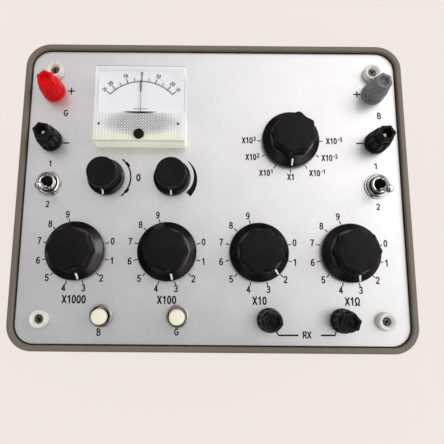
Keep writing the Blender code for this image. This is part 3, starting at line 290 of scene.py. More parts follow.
class Graph:
    """A node tree of a material, a world or a shape."""

    def __init__(self, tree):
        self.tree = tree
        self.tree.nodes.clear()

    def add(self, kind, settings=None, sockets=None, out=0):
        """Add a node: its settings first, then its sockets' values and links."""
        node = self.tree.nodes.new(kind)
        for name, value in (settings or {}).items():
            if name == "stops":
                ramp = node.color_ramp.elements
                while len(ramp) < len(value):
                    ramp.new(1.0)
                for stop, (place, colour) in zip(ramp, value):
                    stop.position = place
                    stop.color = (*colour, 1.0)
            else:
                setattr(node, name, value)
        for name, given in (sockets or {}).items():
            for value in given if isinstance(given, list) else [given]:
                if isinstance(value, Wire):
                    self.tree.links.new(value.socket, node.inputs[name])
                else:
                    node.inputs[name].default_value = value
        return Wire(self, node.outputs[out]) if len(node.outputs) else node

    def mix(self, factor, first, second):
        """Mix two colours, each a wire or a plain colour."""
        def plain(colour):
            return colour if isinstance(colour, Wire) else (*colour, 1.0)
        return self.add("ShaderNodeMix", {"data_type": "RGBA"}, {
            0: factor, 6: plain(first), 7: plain(second)}, 2)

    def split(self, vector):
        """Return the three parts of a vector."""
        parts = self.add("ShaderNodeSeparateXYZ", sockets={0: vector}).socket.node.outputs
        return [Wire(self, part) for part in parts]

    def noise(self, scale, detail=3.0, stretch=(1.0, 1.0, 1.0), roughness=0.5):
        """Noise on Object coordinates; the scale is in grains per metre."""
        spot = self.add("ShaderNodeTexCoord", out="Object")
        placed = self.add("ShaderNodeMapping", sockets={"Vector": spot, "Scale": stretch})
        return self.add("ShaderNodeTexNoise", sockets={
            "Vector": placed, "Scale": scale, "Detail": detail, "Roughness": roughness})

    def spread(self, value, low, high, start=0.0, end=1.0):
        """Stretch a value from one range to another."""
        return self.add("ShaderNodeMapRange", {"clamp": True}, {
            "Value": value, "From Min": low, "From Max": high, "To Min": start, "To Max": end})

    def bump(self, height, strength, distance):
        """Turn a height into a bumped normal."""
        return self.add("ShaderNodeBump", sockets={
            "Height": height, "Strength": strength, "Distance": distance})


def new_material(name):
    """Return a material and its empty graph."""
    finish = bpy.data.materials.new(name)
    finish.use_nodes = True
    return finish, Graph(finish.node_tree)


def close_material(graph, sockets):
    """Add the surface shader and the output."""
    shader = graph.add("ShaderNodeBsdfPrincipled", sockets=sockets)
    graph.add("ShaderNodeOutputMaterial", sockets={"Surface": shader})


def moulding(name, dark, light, roughness, grain=2600.0, relief=0.00002, mottle=90.0, gloss=0.3):
    """Moulded plastic: two close tints, a fine spark grain and an uneven gloss."""
    finish, graph = new_material(name)
    cloud = graph.noise(mottle, 4.0)
    fine = graph.noise(grain, 2.0)
    close_material(graph, {
        "Base Color": graph.mix(graph.spread(cloud, 0.3, 0.7), dark, light),
        "Roughness": graph.spread(cloud + 0.5 * fine, 0.4, 1.1, roughness - 0.06, roughness + 0.06),
        "Normal": graph.bump(fine, 0.5, relief),
        "Specular IOR Level": gloss,
    })
    return finish


def metal(name, dark, light, roughness, grain=1500.0, stretch=(1.0, 1.0, 1.0), relief=0.000004, scuff=0.05):
    """Bare or plated metal with a fine grain and faint scuffs."""
    finish, graph = new_material(name)
    cloud = graph.noise(60.0, 4.0)
    fine = graph.noise(grain, 3.0, stretch)
    close_material(graph, {
        "Base Color": graph.mix(graph.spread(0.6 * cloud + 0.4 * fine, 0.35, 0.65), dark, light),
        "Metallic": 1.0,
        "Roughness": graph.spread(0.5 * cloud + 0.5 * fine, 0.3, 0.7, roughness - scuff, roughness + scuff),
        "Normal": graph.bump(fine, 0.4, relief),
    })
    return finish


def satin_panel():
    """Anodised front plate: blasted grain with a soft mottle."""
    finish, graph = new_material("satin anodised plate")
    cloud = graph.noise(45.0, 5.0)
    grain = graph.noise(1300.0, 3.0)
    close_material(graph, {
        "Base Color": graph.mix(graph.spread(0.45 * cloud + 0.55 * grain, 0.38, 0.62),
                                (0.64, 0.675, 0.70), (0.71, 0.742, 0.763)),
        "Metallic": 0.70,
        "Roughness": graph.spread(0.5 * cloud + 0.5 * grain, 0.35, 0.65, 0.32, 0.38),
        "Normal": graph.bump(grain, 0.12, 0.00002),
    })
    return finish


def clear_cover():
    """Clear acrylic: faint in front, milky in its walls, which glow with painted light, with a dark line
    along its far top edge.
    """
    finish, graph = new_material("clear acrylic")
    edge = graph.add("ShaderNodeLayerWeight", sockets={"Blend": 0.30}, out="Facing")
    x, y, z = graph.split(graph.add("ShaderNodeTexCoord", out="Object"))
    centre = middle("meter_cover")
    side = METER_LENGTH / 2
    rear = centre.y + METER_WIDTH / 2
    top = PANEL + METER_HEIGHT
    side_wall = graph.spread(x.sum("ABSOLUTE", x - centre.x), side - 0.0024, side - 0.0015)
    wall = x.sum("MAXIMUM", side_wall, graph.spread(y, rear - 0.0024, rear - 0.0015))
    rear_line = graph.spread(y, rear - 0.0010, rear - 0.0006) * graph.spread(z, top - 0.0011, top - 0.0006)
    cloud = graph.noise(120.0, 3.0)
    body = graph.mix(cloud, (0.93, 0.94, 0.95), (0.97, 0.975, 0.98))
    close_material(graph, {
        "Base Color": graph.mix(rear_line, body, (0.10, 0.10, 0.11)),
        "Roughness": graph.spread(cloud, 0.3, 0.7, 0.04, 0.09),
        "Alpha": 0.03 + 0.14 * edge + 0.20 * wall + 0.60 * rear_line,
        "IOR": 1.49,
        # Emission is painted light: the walls glow brighter than the lamps light them
        "Emission Color": graph.mix(wall * (1.0 - rear_line), (0.0, 0.0, 0.0), (0.92, 0.94, 0.97)),
        "Emission Strength": 0.30,
    })
    return finish


def frosted_sill():
    """Milky moulding: a fine grid of dots in its middle, cream at its near edge; its walls glow cream with
    painted light and the rest with a faint painted glow.
    """
    finish, graph = new_material("frosted sill")
    x, y, z = graph.split(graph.add("ShaderNodeTexCoord", out="Object"))
    cloud = graph.noise(140.0, 4.0)
    near = graph.spread(y + 0.004 * cloud, *CREAM_EDGE, 1.0, 0.0)
    wall = graph.spread(z, PANEL + METER_HEIGHT - 0.0006, PANEL + METER_HEIGHT - 0.0016)
    grid = x.sum("SINE", x * (2 * math.pi / DOT_PITCH)) * y.sum("SINE", y * (2 * math.pi / DOT_PITCH))
    across = (x - DOT_MIDDLE[0]) / DOT_REACH[0]
    along = (y - DOT_MIDDLE[1]) / DOT_REACH[1]
    oval = graph.spread(across * across + along * along + 0.5 * cloud, 0.6, 1.4, 1.0, 0.0)
    dots = graph.spread(grid, -0.25, 0.10) * oval * (1.0 - wall)
    body = graph.mix(near, (0.86, 0.86, 0.83), (0.91, 0.89, 0.74))
    close_material(graph, {
        "Base Color": graph.mix(dots * 0.85, body, (0.13, 0.13, 0.14)),
        "Roughness": graph.spread(cloud, 0.3, 0.7, 0.22, 0.32),
        "Normal": graph.bump(cloud, 0.2, 0.0001),
        # Emission is painted light: a strong cream glow in the walls and a faint one elsewhere
        "Emission Color": graph.mix(wall, (0.05, 0.05, 0.045), (0.55, 0.53, 0.42)),
        "Emission Strength": 0.6,
    })
    return finish


def ink(name, colour, roughness=0.6):
    """Screen-printed ink with a slightly uneven film."""
    finish, graph = new_material(name)
    film = graph.noise(700.0, 2.0)
    close_material(graph, {
        "Base Color": graph.mix(film, colour, tuple(min(1.0, 1.2 * c + 0.004) for c in colour)),
        "Roughness": graph.spread(film, 0.3, 0.7, roughness - 0.08, roughness + 0.08),
        "Specular IOR Level": 0.1,
    })
    return finish


BLACK = moulding("black moulding", (0.0045, 0.0042, 0.0045), (0.0085, 0.0078, 0.0080), 0.40, gloss=0.11)
GLOSS_BLACK = moulding("polished black moulding", (0.0042, 0.0040, 0.0042), (0.0075, 0.0070, 0.0070), 0.21,
                       gloss=0.5)
TAUPE = moulding("taupe moulding", (0.180, 0.150, 0.116), (0.200, 0.168, 0.131), 0.50, 1800.0, 0.00005)
CREAM = moulding("cream moulding", (1.0, 0.92, 0.70), (1.0, 0.96, 0.79), 0.38)
IVORY = moulding("ivory moulding", (0.76, 0.71, 0.64), (0.92, 0.89, 0.83), 0.42, mottle=420.0)
RED = moulding("red moulding", (0.66, 0.002, 0.006), (0.95, 0.006, 0.014), 0.34, mottle=600.0, gloss=0.09)
GREY = moulding("grey moulding", (0.120, 0.122, 0.126), (0.27, 0.273, 0.275), 0.38, mottle=750.0, gloss=0.2)
# Black rubber for the feet, also used for black rings that stand as painted shade in gaps
RUBBER_AND_SHADE = moulding("black rubber and painted shade", (0.012, 0.012, 0.012), (0.020, 0.020, 0.020), 0.70)
PHENOLIC = moulding("phenolic board", (0.20, 0.09, 0.035), (0.30, 0.15, 0.06), 0.55)
CIRCUIT = moulding("green board", (0.02, 0.12, 0.05), (0.03, 0.17, 0.07), 0.45)
WRAP = moulding("battery sleeve", (0.06, 0.08, 0.22), (0.09, 0.12, 0.30), 0.35)
DIAL = moulding("white dial paint", (0.93, 0.942, 0.965), (0.96, 0.968, 0.985), 0.50, 3000.0, 0.000004)
ALUMINIUM = satin_panel()
CHROME = metal("polished chrome", (0.575, 0.60, 0.605), (0.76, 0.785, 0.79), 0.07, 400.0, scuff=0.02)
DULL_CHROME = metal("dull chrome", (0.31, 0.315, 0.305), (0.53, 0.54, 0.52), 0.09, 400.0, scuff=0.02)
STEEL = metal("plated steel", (0.48, 0.48, 0.49), (0.60, 0.60, 0.60), 0.32)
DARK_STEEL = metal("dark steel", (0.05, 0.044, 0.038), (0.30, 0.27, 0.24), 0.20)
PALE_BRASS = metal("plated brass", (0.44, 0.42, 0.28), (0.56, 0.54, 0.38), 0.34)
CLEAR = clear_cover()
SILL = frosted_sill()
# Black ink for the print, also used for the painted shadow line along the sill
BLACK_INK_AND_SHADOW = ink("black ink and painted shadow", (0.005, 0.005, 0.006))
WHITE_INK = ink("white ink", (0.90, 0.90, 0.88))
NEEDLE_PAINT = ink("needle paint", (0.03, 0.03, 0.032))

# Posts: finish, slot, turn of the cap, whether its mouth has a floor, and the flutes' depth
POSTS = {
    "red_post": (RED, "red_moulding", 10.0, True, 0.0004),
    "left_black_post": (BLACK, "black_moulding", 20.0, False, 0.0009),
    "grey_post": (GREY, "grey_moulding", 5.0, True, 0.0004),
    "right_black_post": (BLACK, "black_moulding", 33.0, False, 0.0009),
    "rx_left_post": (BLACK, "black_moulding", 15.0, True, 0.0009),
    "rx_right_post": (BLACK, "black_moulding", 40.0, True, 0.0009),
}


def quarter(steps):
    """Return the angles of a quarter turn in steps, both ends included."""
    return [math.pi / 2 * step / steps for step in range(steps + 1)]


def circle(radius, height, count):
    """Return a level ring of points."""
    turns = [2 * math.pi * i / count for i in range(count)]
    return [(radius * math.cos(t), radius * math.sin(t), height) for t in turns]


def rounded(length, width, corner, height, steps=8, centre=(0.0, 0.0)):
    """Return a level ring round a rectangle with arcs for corners."""
    ring = []
    for number, (side_x, side_y) in enumerate(((1, 1), (-1, 1), (-1, -1), (1, -1))):
        x = centre[0] + side_x * (length / 2 - corner)
        y = centre[1] + side_y * (width / 2 - corner)
        for step in range(steps + 1):
            turn = math.pi / 2 * (number + step / steps)
            ring.append((x + corner * math.cos(turn), y + corner * math.sin(turn), height))
    return ring


def shrunk(box, inset, corner):
    """Return the length, width and corner of an outline at a distance inside a box."""
    low, high = box
    return high.x - low.x - 2 * inset, high.y - low.y - 2 * inset, max(corner - inset, 0.0005)


def loft(shape, rings, ends="both"):
    """Join rings into a skin; the ends are capped, open or joined to each other."""
    loops = [[shape.verts.new(point) for point in ring] for ring in rings]
    pairs = list(zip(loops, loops[1:]))
    if ends == "joined":
        pairs.append((loops[-1], loops[0]))
    if ends == "both":
        shape.faces.new(reversed(loops[0]))
        shape.faces.new(loops[-1])
    for lower, upper in pairs:
        for i in range(len(lower)):
            j = (i + 1) % len(lower)
            shape.faces.new((lower[i], lower[j], upper[j], upper[i]))
    return shape


def turned(profile, count=48, ends="both"):
    """Return a turned skin from pairs of radius and height."""
    return loft(bmesh.new(), [circle(r, z, count) for r, z in profile], ends)


def round_over(radius, height, bulge, steps=4):
    """Return profile points that round a rim from its side to its top."""
    return [(radius - bulge + bulge * math.cos(t), height - bulge + bulge * math.sin(t))
            for t in quarter(steps)]


def block(shape, low, high):
    """Add a box by its two corners."""
    made = bmesh.ops.create_cube(shape, size=1.0)
    for vert in made["verts"]:
        for axis in range(3):
            vert.co[axis] = high[axis] if vert.co[axis] > 0 else low[axis]


def plain_mesh(shape):
    """Turn a skin into a mesh as it is."""
    mesh = bpy.data.meshes.new("skin")
    shape.to_mesh(mesh)
    shape.free()
    return mesh


def placed(mesh, finish, spot=(0.0, 0.0, 0.0), turn=0.0, angle=35.0):
    """Move a mesh's points to their place and shade it smooth, but for sharp edges, in one material."""
    mesh.transform(Matrix.Translation(Vector(spot)) @ Matrix.Rotation(math.radians(turn), 4, "Z"))
    mesh.shade_smooth()
    mesh.set_sharp_from_angle(angle=math.radians(angle))
    mesh.materials.clear()
    mesh.materials.append(finish)
    for face in mesh.polygons:
        face.material_index = 0
    return mesh


def to_mesh(shape, finish, spot=(0.0, 0.0, 0.0), turn=0.0, angle=35.0):
    """Turn a skin into a mesh at its place, with closed and outward faces."""
    bmesh.ops.remove_doubles(shape, verts=shape.verts, dist=1e-7)
    bmesh.ops.recalc_face_normals(shape, faces=shape.faces)
    return placed(plain_mesh(shape), finish, spot, turn, angle)


def joined(meshes, finish):
    """Join several placed meshes into one."""
    shape = bmesh.new()
    for mesh in meshes:
        shape.from_mesh(mesh)
    return placed(plain_mesh(shape), finish)


def in_scene(name, data):
    """Return a new object that stands in the scene."""
    thing = bpy.data.objects.new(name, data)
    bpy.context.scene.collection.objects.link(thing)
    return thing


def piece(name, mesh, slot, *nodes, body="bridge"):
    """Show a mesh that rides on a body and may stand for CAD nodes."""
    mesh.name = name
    thing = in_scene(name, mesh)
    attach(thing, body)
    if nodes:
        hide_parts(*nodes)


def shape_tree(name, inputs):
    """Start a tree that changes a mesh; inputs are (name, socket type)."""
    tree = bpy.data.node_groups.new(name, "GeometryNodeTree")
    tree.interface.new_socket(name="Geometry", in_out="INPUT", socket_type="NodeSocketGeometry")
    for label, kind in inputs:
        tree.interface.new_socket(name=label, in_out="INPUT", socket_type="NodeSocket" + kind)
    tree.interface.new_socket(name="Material", in_out="INPUT", socket_type="NodeSocketMaterial")
    tree.interface.new_socket(name="Geometry", in_out="OUTPUT", socket_type="NodeSocketGeometry")
    graph = Graph(tree)
    entry = tree.nodes.new("NodeGroupInput")
    given = {socket.name: Wire(graph, socket) for socket in entry.outputs if socket.name}
    return graph, given


def close_tree(graph, given, made):
    """End a tree with real geometry in its material, and return it."""
    solid = graph.add("GeometryNodeRealizeInstances", sockets={0: made})
    painted = graph.add("GeometryNodeSetMaterial", sockets={"Geometry": solid, "Material": given["Material"]})
    graph.add("NodeGroupOutput", sockets={0: painted})
    return graph.tree


def fluted_tree():
    """Hollows round a turned body, between two heights and outside a core."""
    graph, given = shape_tree("flutes round a body", (
        ("Count", "Float"), ("Depth", "Float"), ("Sharpness", "Float"), ("First turn", "Float"),
        ("Foot", "Float"), ("Top", "Float"), ("Blend", "Float"), ("Core", "Float")))
    spot = graph.add("GeometryNodeInputPosition")
    x, y, z = graph.split(spot)
    reach = x.sum("SQRT", x * x + y * y)
    turn = y.sum("ARCTAN2", y, x)
    wave = turn.sum("COSINE", given["Count"] * 0.5 * turn + given["First turn"])
    hollow = wave.sum("ABSOLUTE", wave) ** given["Sharpness"]
    above = graph.add("ShaderNodeMapRange", {"interpolation_type": "SMOOTHSTEP"}, {
        "Value": z, "From Min": given["Foot"] - given["Blend"], "From Max": given["Foot"]})
    below = graph.add("ShaderNodeMapRange", {"interpolation_type": "SMOOTHSTEP"}, {
        "Value": z, "From Min": given["Top"] + given["Blend"], "From Max": given["Top"]})
    outside = reach.sum("GREATER_THAN", reach, given["Core"])
    pull = -1.0 * given["Depth"] * hollow * above * below * outside / (reach + 0.000001)
    shift = graph.add("ShaderNodeCombineXYZ", sockets={0: x * pull, 1: y * pull})
    moved = graph.add("GeometryNodeSetPosition", sockets={"Geometry": given["Geometry"], "Offset": shift})
    return close_tree(graph, given, moved)


def ring_tree():
    """Copies of a mark round a circle, each turned outwards."""
    graph, given = shape_tree("marks round a circle", (
        ("Count", "Int"), ("First turn", "Float"), ("Step", "Float"), ("Radius", "Float")))
    line = graph.add("GeometryNodeMeshLine", sockets={"Count": given["Count"]})
    index = graph.add("GeometryNodeInputIndex")
    turn = (given["First turn"] + given["Step"] * index) * (math.pi / 180)
    spot = graph.add("ShaderNodeCombineXYZ", sockets={
        0: turn.sum("COSINE", turn) * given["Radius"], 1: turn.sum("SINE", turn) * given["Radius"]})
    points = graph.add("GeometryNodeSetPosition", sockets={"Geometry": line, "Position": spot})
    facing = graph.add("ShaderNodeCombineXYZ", sockets={2: turn})
    made = graph.add("GeometryNodeInstanceOnPoints", sockets={
        "Points": points, "Instance": given["Geometry"], "Rotation": facing})
    return close_tree(graph, given, made)


def row_tree():
    """Copies of a rib in a straight row."""
    graph, given = shape_tree("ribs in a row", (("Count", "Int"), ("Pitch", "Float")))
    line = graph.add("GeometryNodeMeshLine", sockets={"Count": given["Count"]})
    index = graph.add("GeometryNodeInputIndex")
    along = (index - (given["Count"] - 1.0) / 2.0) * given["Pitch"]
    spot = graph.add("ShaderNodeCombineXYZ", sockets={0: along})
    points = graph.add("GeometryNodeSetPosition", sockets={"Geometry": line, "Position": spot})
    made = graph.add("GeometryNodeInstanceOnPoints", sockets={
        "Points": points, "Instance": given["Geometry"]})
    return close_tree(graph, given, made)


def screw_tree():
    """A cross recess cut into a screw's head."""
    graph, given = shape_tree("cross-head screw", (
        ("Slot length", "Float"), ("Slot width", "Float"), ("Slot depth", "Float"), ("Head top", "Float")))
    bars = []
    for length, width in (("Slot length", "Slot width"), ("Slot width", "Slot length")):
        size = graph.add("ShaderNodeCombineXYZ", sockets={
            0: given[length], 1: given[width], 2: given["Slot depth"] * 2.0})
        bars.append(graph.add("GeometryNodeMeshCube", sockets={"Size": size}))
    cross = graph.add("GeometryNodeMeshBoolean", {"operation": "UNION"}, {1: bars})
    lift = graph.add("ShaderNodeCombineXYZ", sockets={2: given["Head top"]})
    raised = graph.add("GeometryNodeTransform", sockets={"Geometry": cross, "Translation": lift})
    cut = graph.add("GeometryNodeMeshBoolean", {"operation": "DIFFERENCE"}, {0: given["Geometry"], 1: raised})
    return close_tree(graph, given, cut)


FLUTES = fluted_tree()
RING = ring_tree()
ROW = row_tree()
SCREW = screw_tree()


def grown(mesh, tree, finish, **values):
    """Run a tree on a mesh and return the plain mesh it gives."""
    carrier = in_scene("carrier", mesh)
    modifier = carrier.modifiers.new("tree", "NODES")
    modifier.node_group = tree
    names = {socket.name: socket.identifier for socket in tree.interface.items_tree
             if socket.in_out == "INPUT"}
    modifier[names["Material"]] = finish
    for name, value in values.items():
        modifier[names[name.replace("_", " ").capitalize()]] = value
    layer = bpy.context.evaluated_depsgraph_get()
    made = bpy.data.meshes.new_from_object(carrier.evaluated_get(layer))
    bpy.data.objects.remove(carrier)
    return made


def stroke(points, width, level):
    """Return a flat line through points in the plane, with round ends where it has one width."""
    end_steps = 6
    shape = bmesh.new()
    left = []
    right = []
    for i, (x, y) in enumerate(points):
        before = points[max(i - 1, 0)]
        after = points[min(i + 1, len(points) - 1)]
        along = Vector((after[0] - before[0], after[1] - before[1])).normalized()
        half = (width[i] if isinstance(width, list) else width) / 2
        left.append(shape.verts.new((x - along.y * half, y + along.x * half, level)))
        right.append(shape.verts.new((x + along.y * half, y - along.x * half, level)))
    for i in range(len(points) - 1):
        shape.faces.new((right[i], right[i + 1], left[i + 1], left[i]))
    if not isinstance(width, list):
        for end, inner, first, last in ((points[0], points[1], left[0], right[0]),
                                        (points[-1], points[-2], right[-1], left[-1])):
            away = math.atan2(end[1] - inner[1], end[0] - inner[0])
            fan = []
            for step in range(1, end_steps):
                turn = away - math.pi / 2 + math.pi * (end_steps - step) / end_steps
                fan.append(shape.verts.new((end[0] + width / 2 * math.cos(turn),
                                            end[1] + width / 2 * math.sin(turn), level)))
            shape.faces.new([last, *reversed(fan), first])
    return plain_mesh(shape)


def bow(x, y, reach_x, reach_y, start, end, count=14):
    """Return points of an oval arc round a middle, its ends in degrees."""
    turns = [math.radians(start + (end - start) * i / (count - 1)) for i in range(count)]
    return [(x + reach_x * math.cos(t), y + reach_y * math.sin(t)) for t in turns]


# Strokes of each letter, drawn in a box one unit high
SIX = [bow(0.28, 0.31, 0.21, 0.26, 0, 360), bow(0.33, 0.42, 0.26, 0.53, 62, 192)]
GLYPHS = {
    "0": [bow(0.28, 0.50, 0.21, 0.45, 90, 450, 22)],
    "1": [[(0.12, 0.76), (0.25, 0.84), (0.33, 0.95)], [(0.33, 0.95), (0.33, 0.05)]],
    "2": [bow(0.27, 0.70, 0.21, 0.25, 165, -38) + [(0.07, 0.05)], [(0.07, 0.05), (0.50, 0.05)]],
    "3": [bow(0.26, 0.73, 0.19, 0.22, 150, -90), bow(0.26, 0.28, 0.22, 0.23, 90, -155)],
    "4": [[(0.38, 0.05), (0.38, 0.95)], [(0.38, 0.95), (0.04, 0.30)], [(0.04, 0.30), (0.52, 0.30)]],
    "5": [[(0.46, 0.94), (0.14, 0.94)], [(0.14, 0.94), (0.09, 0.50)],
          bow(0.27, 0.32, 0.22, 0.27, 142, -150)],
    "6": SIX,
    "7": [[(0.06, 0.94), (0.50, 0.94)], [(0.50, 0.94), (0.33, 0.60), (0.22, 0.05)]],
    "8": [bow(0.28, 0.73, 0.18, 0.22, 0, 360), bow(0.28, 0.28, 0.22, 0.23, 0, 360)],
    "9": [[(0.56 - x, 1.0 - y) for x, y in line] for line in SIX],
    "X": [[(0.05, 0.05), (0.53, 0.95)], [(0.05, 0.95), (0.53, 0.05)]],
    "R": [[(0.08, 0.05), (0.08, 0.95)], [(0.08, 0.95), *bow(0.30, 0.72, 0.22, 0.23, 90, -90), (0.08, 0.49)],
          [(0.30, 0.49), (0.54, 0.05)]],
    "B": [[(0.08, 0.05), (0.08, 0.95)], [(0.08, 0.95), *bow(0.29, 0.74, 0.19, 0.21, 90, -90), (0.08, 0.53)],
          [(0.08, 0.53), *bow(0.31, 0.29, 0.21, 0.24, 90, -90), (0.08, 0.05)]],
    "G": [bow(0.34, 0.50, 0.27, 0.45, 48, 322, 20), [(0.55, 0.22), (0.60, 0.46)],
          [(0.60, 0.46), (0.36, 0.46)]],
    "Ω": [bow(0.34, 0.57, 0.27, 0.38, -58, 238, 20), [(0.20, 0.25), (0.22, 0.05)],
          [(0.22, 0.05), (0.05, 0.05)], [(0.48, 0.25), (0.46, 0.05)], [(0.46, 0.05), (0.63, 0.05)]],
    "-": [[(0.08, 0.48), (0.40, 0.48)]],
}
GLYPH_WIDTHS = {"1": 0.56, "X": 0.60, "G": 0.70, "Ω": 0.70, "-": 0.48}
GLYPH_WIDTH = 0.58
GLYPH_GAP = 0.10


def lettering(words, height, spot, turn, weight, narrow):
    """Return flat letters as a mesh, centred on a spot; the stroke is a share of the height."""
    meshes = []
    cursor = 0.0
    for letter in words:
        for line in GLYPHS[letter]:
            meshes.append(stroke([((cursor + x) * height * narrow, (y - 0.5) * height) for x, y in line],
                                 weight * height, 0.0))
        cursor += GLYPH_WIDTHS.get(letter, GLYPH_WIDTH) + GLYPH_GAP
    half = (cursor - GLYPH_GAP) * height * narrow / 2
    mesh = joined(meshes, BLACK_INK_AND_SHADOW)
    mesh.transform(Matrix.Translation(Vector(spot)) @ Matrix.Rotation(math.radians(turn), 4, "Z")
                   @ Matrix.Translation(Vector((-half, 0.0, 0.0))))
    return mesh


def build_case():
    """Tub with a rounded rim, a ledge under the panel and a recess for the door, on rubber feet."""
    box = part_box("case")
    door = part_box("battery_cover")
    top = box[1].z
    lip = RIM_ROUND / 2
    ledge = PANEL - PANEL_THICKNESS - PANEL_GAP

    def ring(inset, height):
        return rounded(*shrunk(box, inset, CASE_CORNER), height, CASE_STEPS)

    def recess(height):
        return rounded(*shrunk(door, -DOOR_GAP, DOOR_CORNER), height, CASE_STEPS)

    base = [ring(CASE_DRAFT + BASE_ROUND * (1 - math.sin(t)), FOOT_HEIGHT + BASE_ROUND * (1 - math.cos(t)))
            for t in quarter(5)]
    rim = [ring(RIM_ROUND * (1 - math.cos(t)), top - RIM_ROUND * (1 - math.sin(t))) for t in quarter(4)]
    inner = [ring(CASE_WALL - lip * (1 - math.sin(t)), top - lip * (1 - math.cos(t))) for t in quarter(3)]
    shell = loft(bmesh.new(), [
        recess(door[1].z + PANEL_GAP),
        recess(FOOT_HEIGHT),
        *base,
        *rim,
        *inner,
        ring(CASE_WALL, ledge),
        ring(CASE_WALL + LEDGE_WIDTH, ledge),
        ring(CASE_WALL + LEDGE_WIDTH, ledge - LEDGE_DEPTH),
        ring(CASE_WALL + LEDGE_WIDTH + TUB_DRAFT, door[1].z + TUB_FLOOR),
    ])
    piece("case_shell", to_mesh(shell, TAUPE, angle=40.0), "taupe_moulding", "case")

    foot = [
        (FOOT_DIMPLE, 0.0006),
        *[(FOOT_RADIUS - 0.0022 + FOOT_ROUND * math.sin(t), FOOT_ROUND * (1 - math.cos(t)))
          for t in (0.4, 0.8, 1.2, 1.57)],
        (FOOT_RADIUS - 0.0008, 0.0018),
        (FOOT_RADIUS - 0.0006, FOOT_HEIGHT + 0.0002)]
    feet = [to_mesh(turned(foot, 40), RUBBER_AND_SHADE, (x, y, 0.0))
            for x in (-FOOT_SPOT[0], FOOT_SPOT[0]) for y in (-FOOT_SPOT[1], FOOT_SPOT[1])]
    piece("rubber_feet", joined(feet, RUBBER_AND_SHADE), "black_moulding")


def screw_head(radius, height, top, finish):
    """Return a domed cross-head screw as a mesh at the origin."""
    dome = turned([(radius * wide, top - height * deep) for wide, deep in SCREW_DOME], 28)
    return grown(to_mesh(dome, finish), SCREW, finish, slot_length=radius * 1.30,
                 slot_width=radius * 0.34, slot_depth=height * 0.70, head_top=top)


def build_door():
    """Battery door with finger grips and two screws."""
    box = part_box("battery_cover")
    floor = box[0].z
    skin = loft(bmesh.new(), [
        rounded(*shrunk(box, DOOR_EDGE, DOOR_CORNER), floor),
        rounded(*shrunk(box, 0.0, DOOR_CORNER), floor + DOOR_EDGE),
        rounded(*shrunk(box, 0.0, DOOR_CORNER), box[1].z),
    ])
    piece("battery_door", to_mesh(skin, TAUPE), "taupe_moulding", "battery_cover")
    rib = bmesh.new()
    block(rib, (-GRIP_WIDTH / 2, -GRIP_LENGTH / 2, floor - GRIP_RISE),
          (GRIP_WIDTH / 2, GRIP_LENGTH / 2, floor + GRIP_ROUND))
    bmesh.ops.bevel(rib, geom=rib.edges, offset=GRIP_ROUND, segments=2, affect="EDGES")
    row = grown(to_mesh(rib, TAUPE), ROW, TAUPE, count=GRIP_COUNT, pitch=GRIP_PITCH)
    piece("door_grips", placed(row, TAUPE), "taupe_moulding")
    heads = []
    for side in (-1, 1):
        head = screw_head(*DOOR_SCREW, 0.0, STEEL)
        head.transform(Matrix.Rotation(math.pi, 4, "X"))
        head.transform(Matrix.Rotation(0.5 * side, 4, "Z"))
        spot = (side * (box[1].x - DOOR_SCREW_INSET), 0.0, floor - DOOR_SCREW_DROP)
        heads.append(placed(head, STEEL, spot))
    piece("door_screws", joined(heads, STEEL), "plated_steel")


def build_plate():
    """Front plate with softened edges, a hole for all that passes through, and a black band round its edge as
    painted shade of its gap to the case.
    """
    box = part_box("front_panel")
    corner = CASE_CORNER - CASE_WALL - PANEL_GAP
    curve = bpy.data.curves.new("plate", "CURVE")
    curve.dimensions = "2D"
    curve.fill_mode = "BOTH"
    curve.extrude = PANEL_THICKNESS / 2 - PLATE_EDGE
    curve.bevel_depth = PLATE_EDGE
    curve.bevel_resolution = 2

    def outline(points, x=0.0, y=0.0):
        spline = curve.splines.new("POLY")
        spline.points.add(len(points) - 1)
        for point, (across, along, _) in zip(spline.points, points):
            point.co = (x + across, y + along, 0.0, 1.0)
        spline.use_cyclic_u = True

    outline(rounded(*shrunk(box, PLATE_EDGE, corner), 0.0, PLATE_STEPS))
    holes = [(name + "_knob", BUSH_HOLE) for name in KNOB_TURNS]
    holes += [(name + "_knob", POT_HOLE) for name in SMALL_TURNS]
    holes += [(side + "_toggle_body", TOGGLE_HOLE) for side in ("left", "right")]
    holes += [(side + "_button_housing", BUTTON_HOLE) for side in CAP_SHIFTS]
    holes += [(name + "_base", POST_HOLE) for name in POSTS]
    holes += [(name, SCREW_HOLE) for name in CUPS]
    for node, radius in holes:
        spot = middle(node)
        outline(circle(radius + PLATE_EDGE, 0.0, 32), spot.x, spot.y)
    spot = middle("meter_cover")
    outline(circle(BARREL_HOLE + PLATE_EDGE, 0.0, 64), spot.x, spot.y + BARREL_OFFSET)
    carrier = in_scene("plate", curve)
    layer = bpy.context.evaluated_depsgraph_get()
    mesh = bpy.data.meshes.new_from_object(carrier.evaluated_get(layer))
    bpy.data.objects.remove(carrier)
    shape = bmesh.new()
    shape.from_mesh(mesh)
    made = to_mesh(shape, ALUMINIUM, (0.0, 0.0, PANEL - PANEL_THICKNESS / 2), angle=4.0)
    piece("front_plate", made, "satin_aluminium", "front_panel")

    # Black band on the panel's edge along the case wall: painted shade of the gap between panel and case
    section = ((RIM_SHADE_WIDTH, -RIM_SHADE_DEPTH), (RIM_SHADE_WIDTH, 0.0002), (RIM_SHADE_WIDTH - 0.0002, RIM_SHADE_RISE),
               (-PANEL_GAP, RIM_SHADE_RISE), (-PANEL_GAP, -RIM_SHADE_DEPTH))
    rim_shade = [rounded(*shrunk(box, inset, corner), PANEL + height, PLATE_STEPS) for inset, height in section]
    piece("panel_rim_shade", to_mesh(loft(bmesh.new(), rim_shade, "joined"), RUBBER_AND_SHADE), "black_moulding")


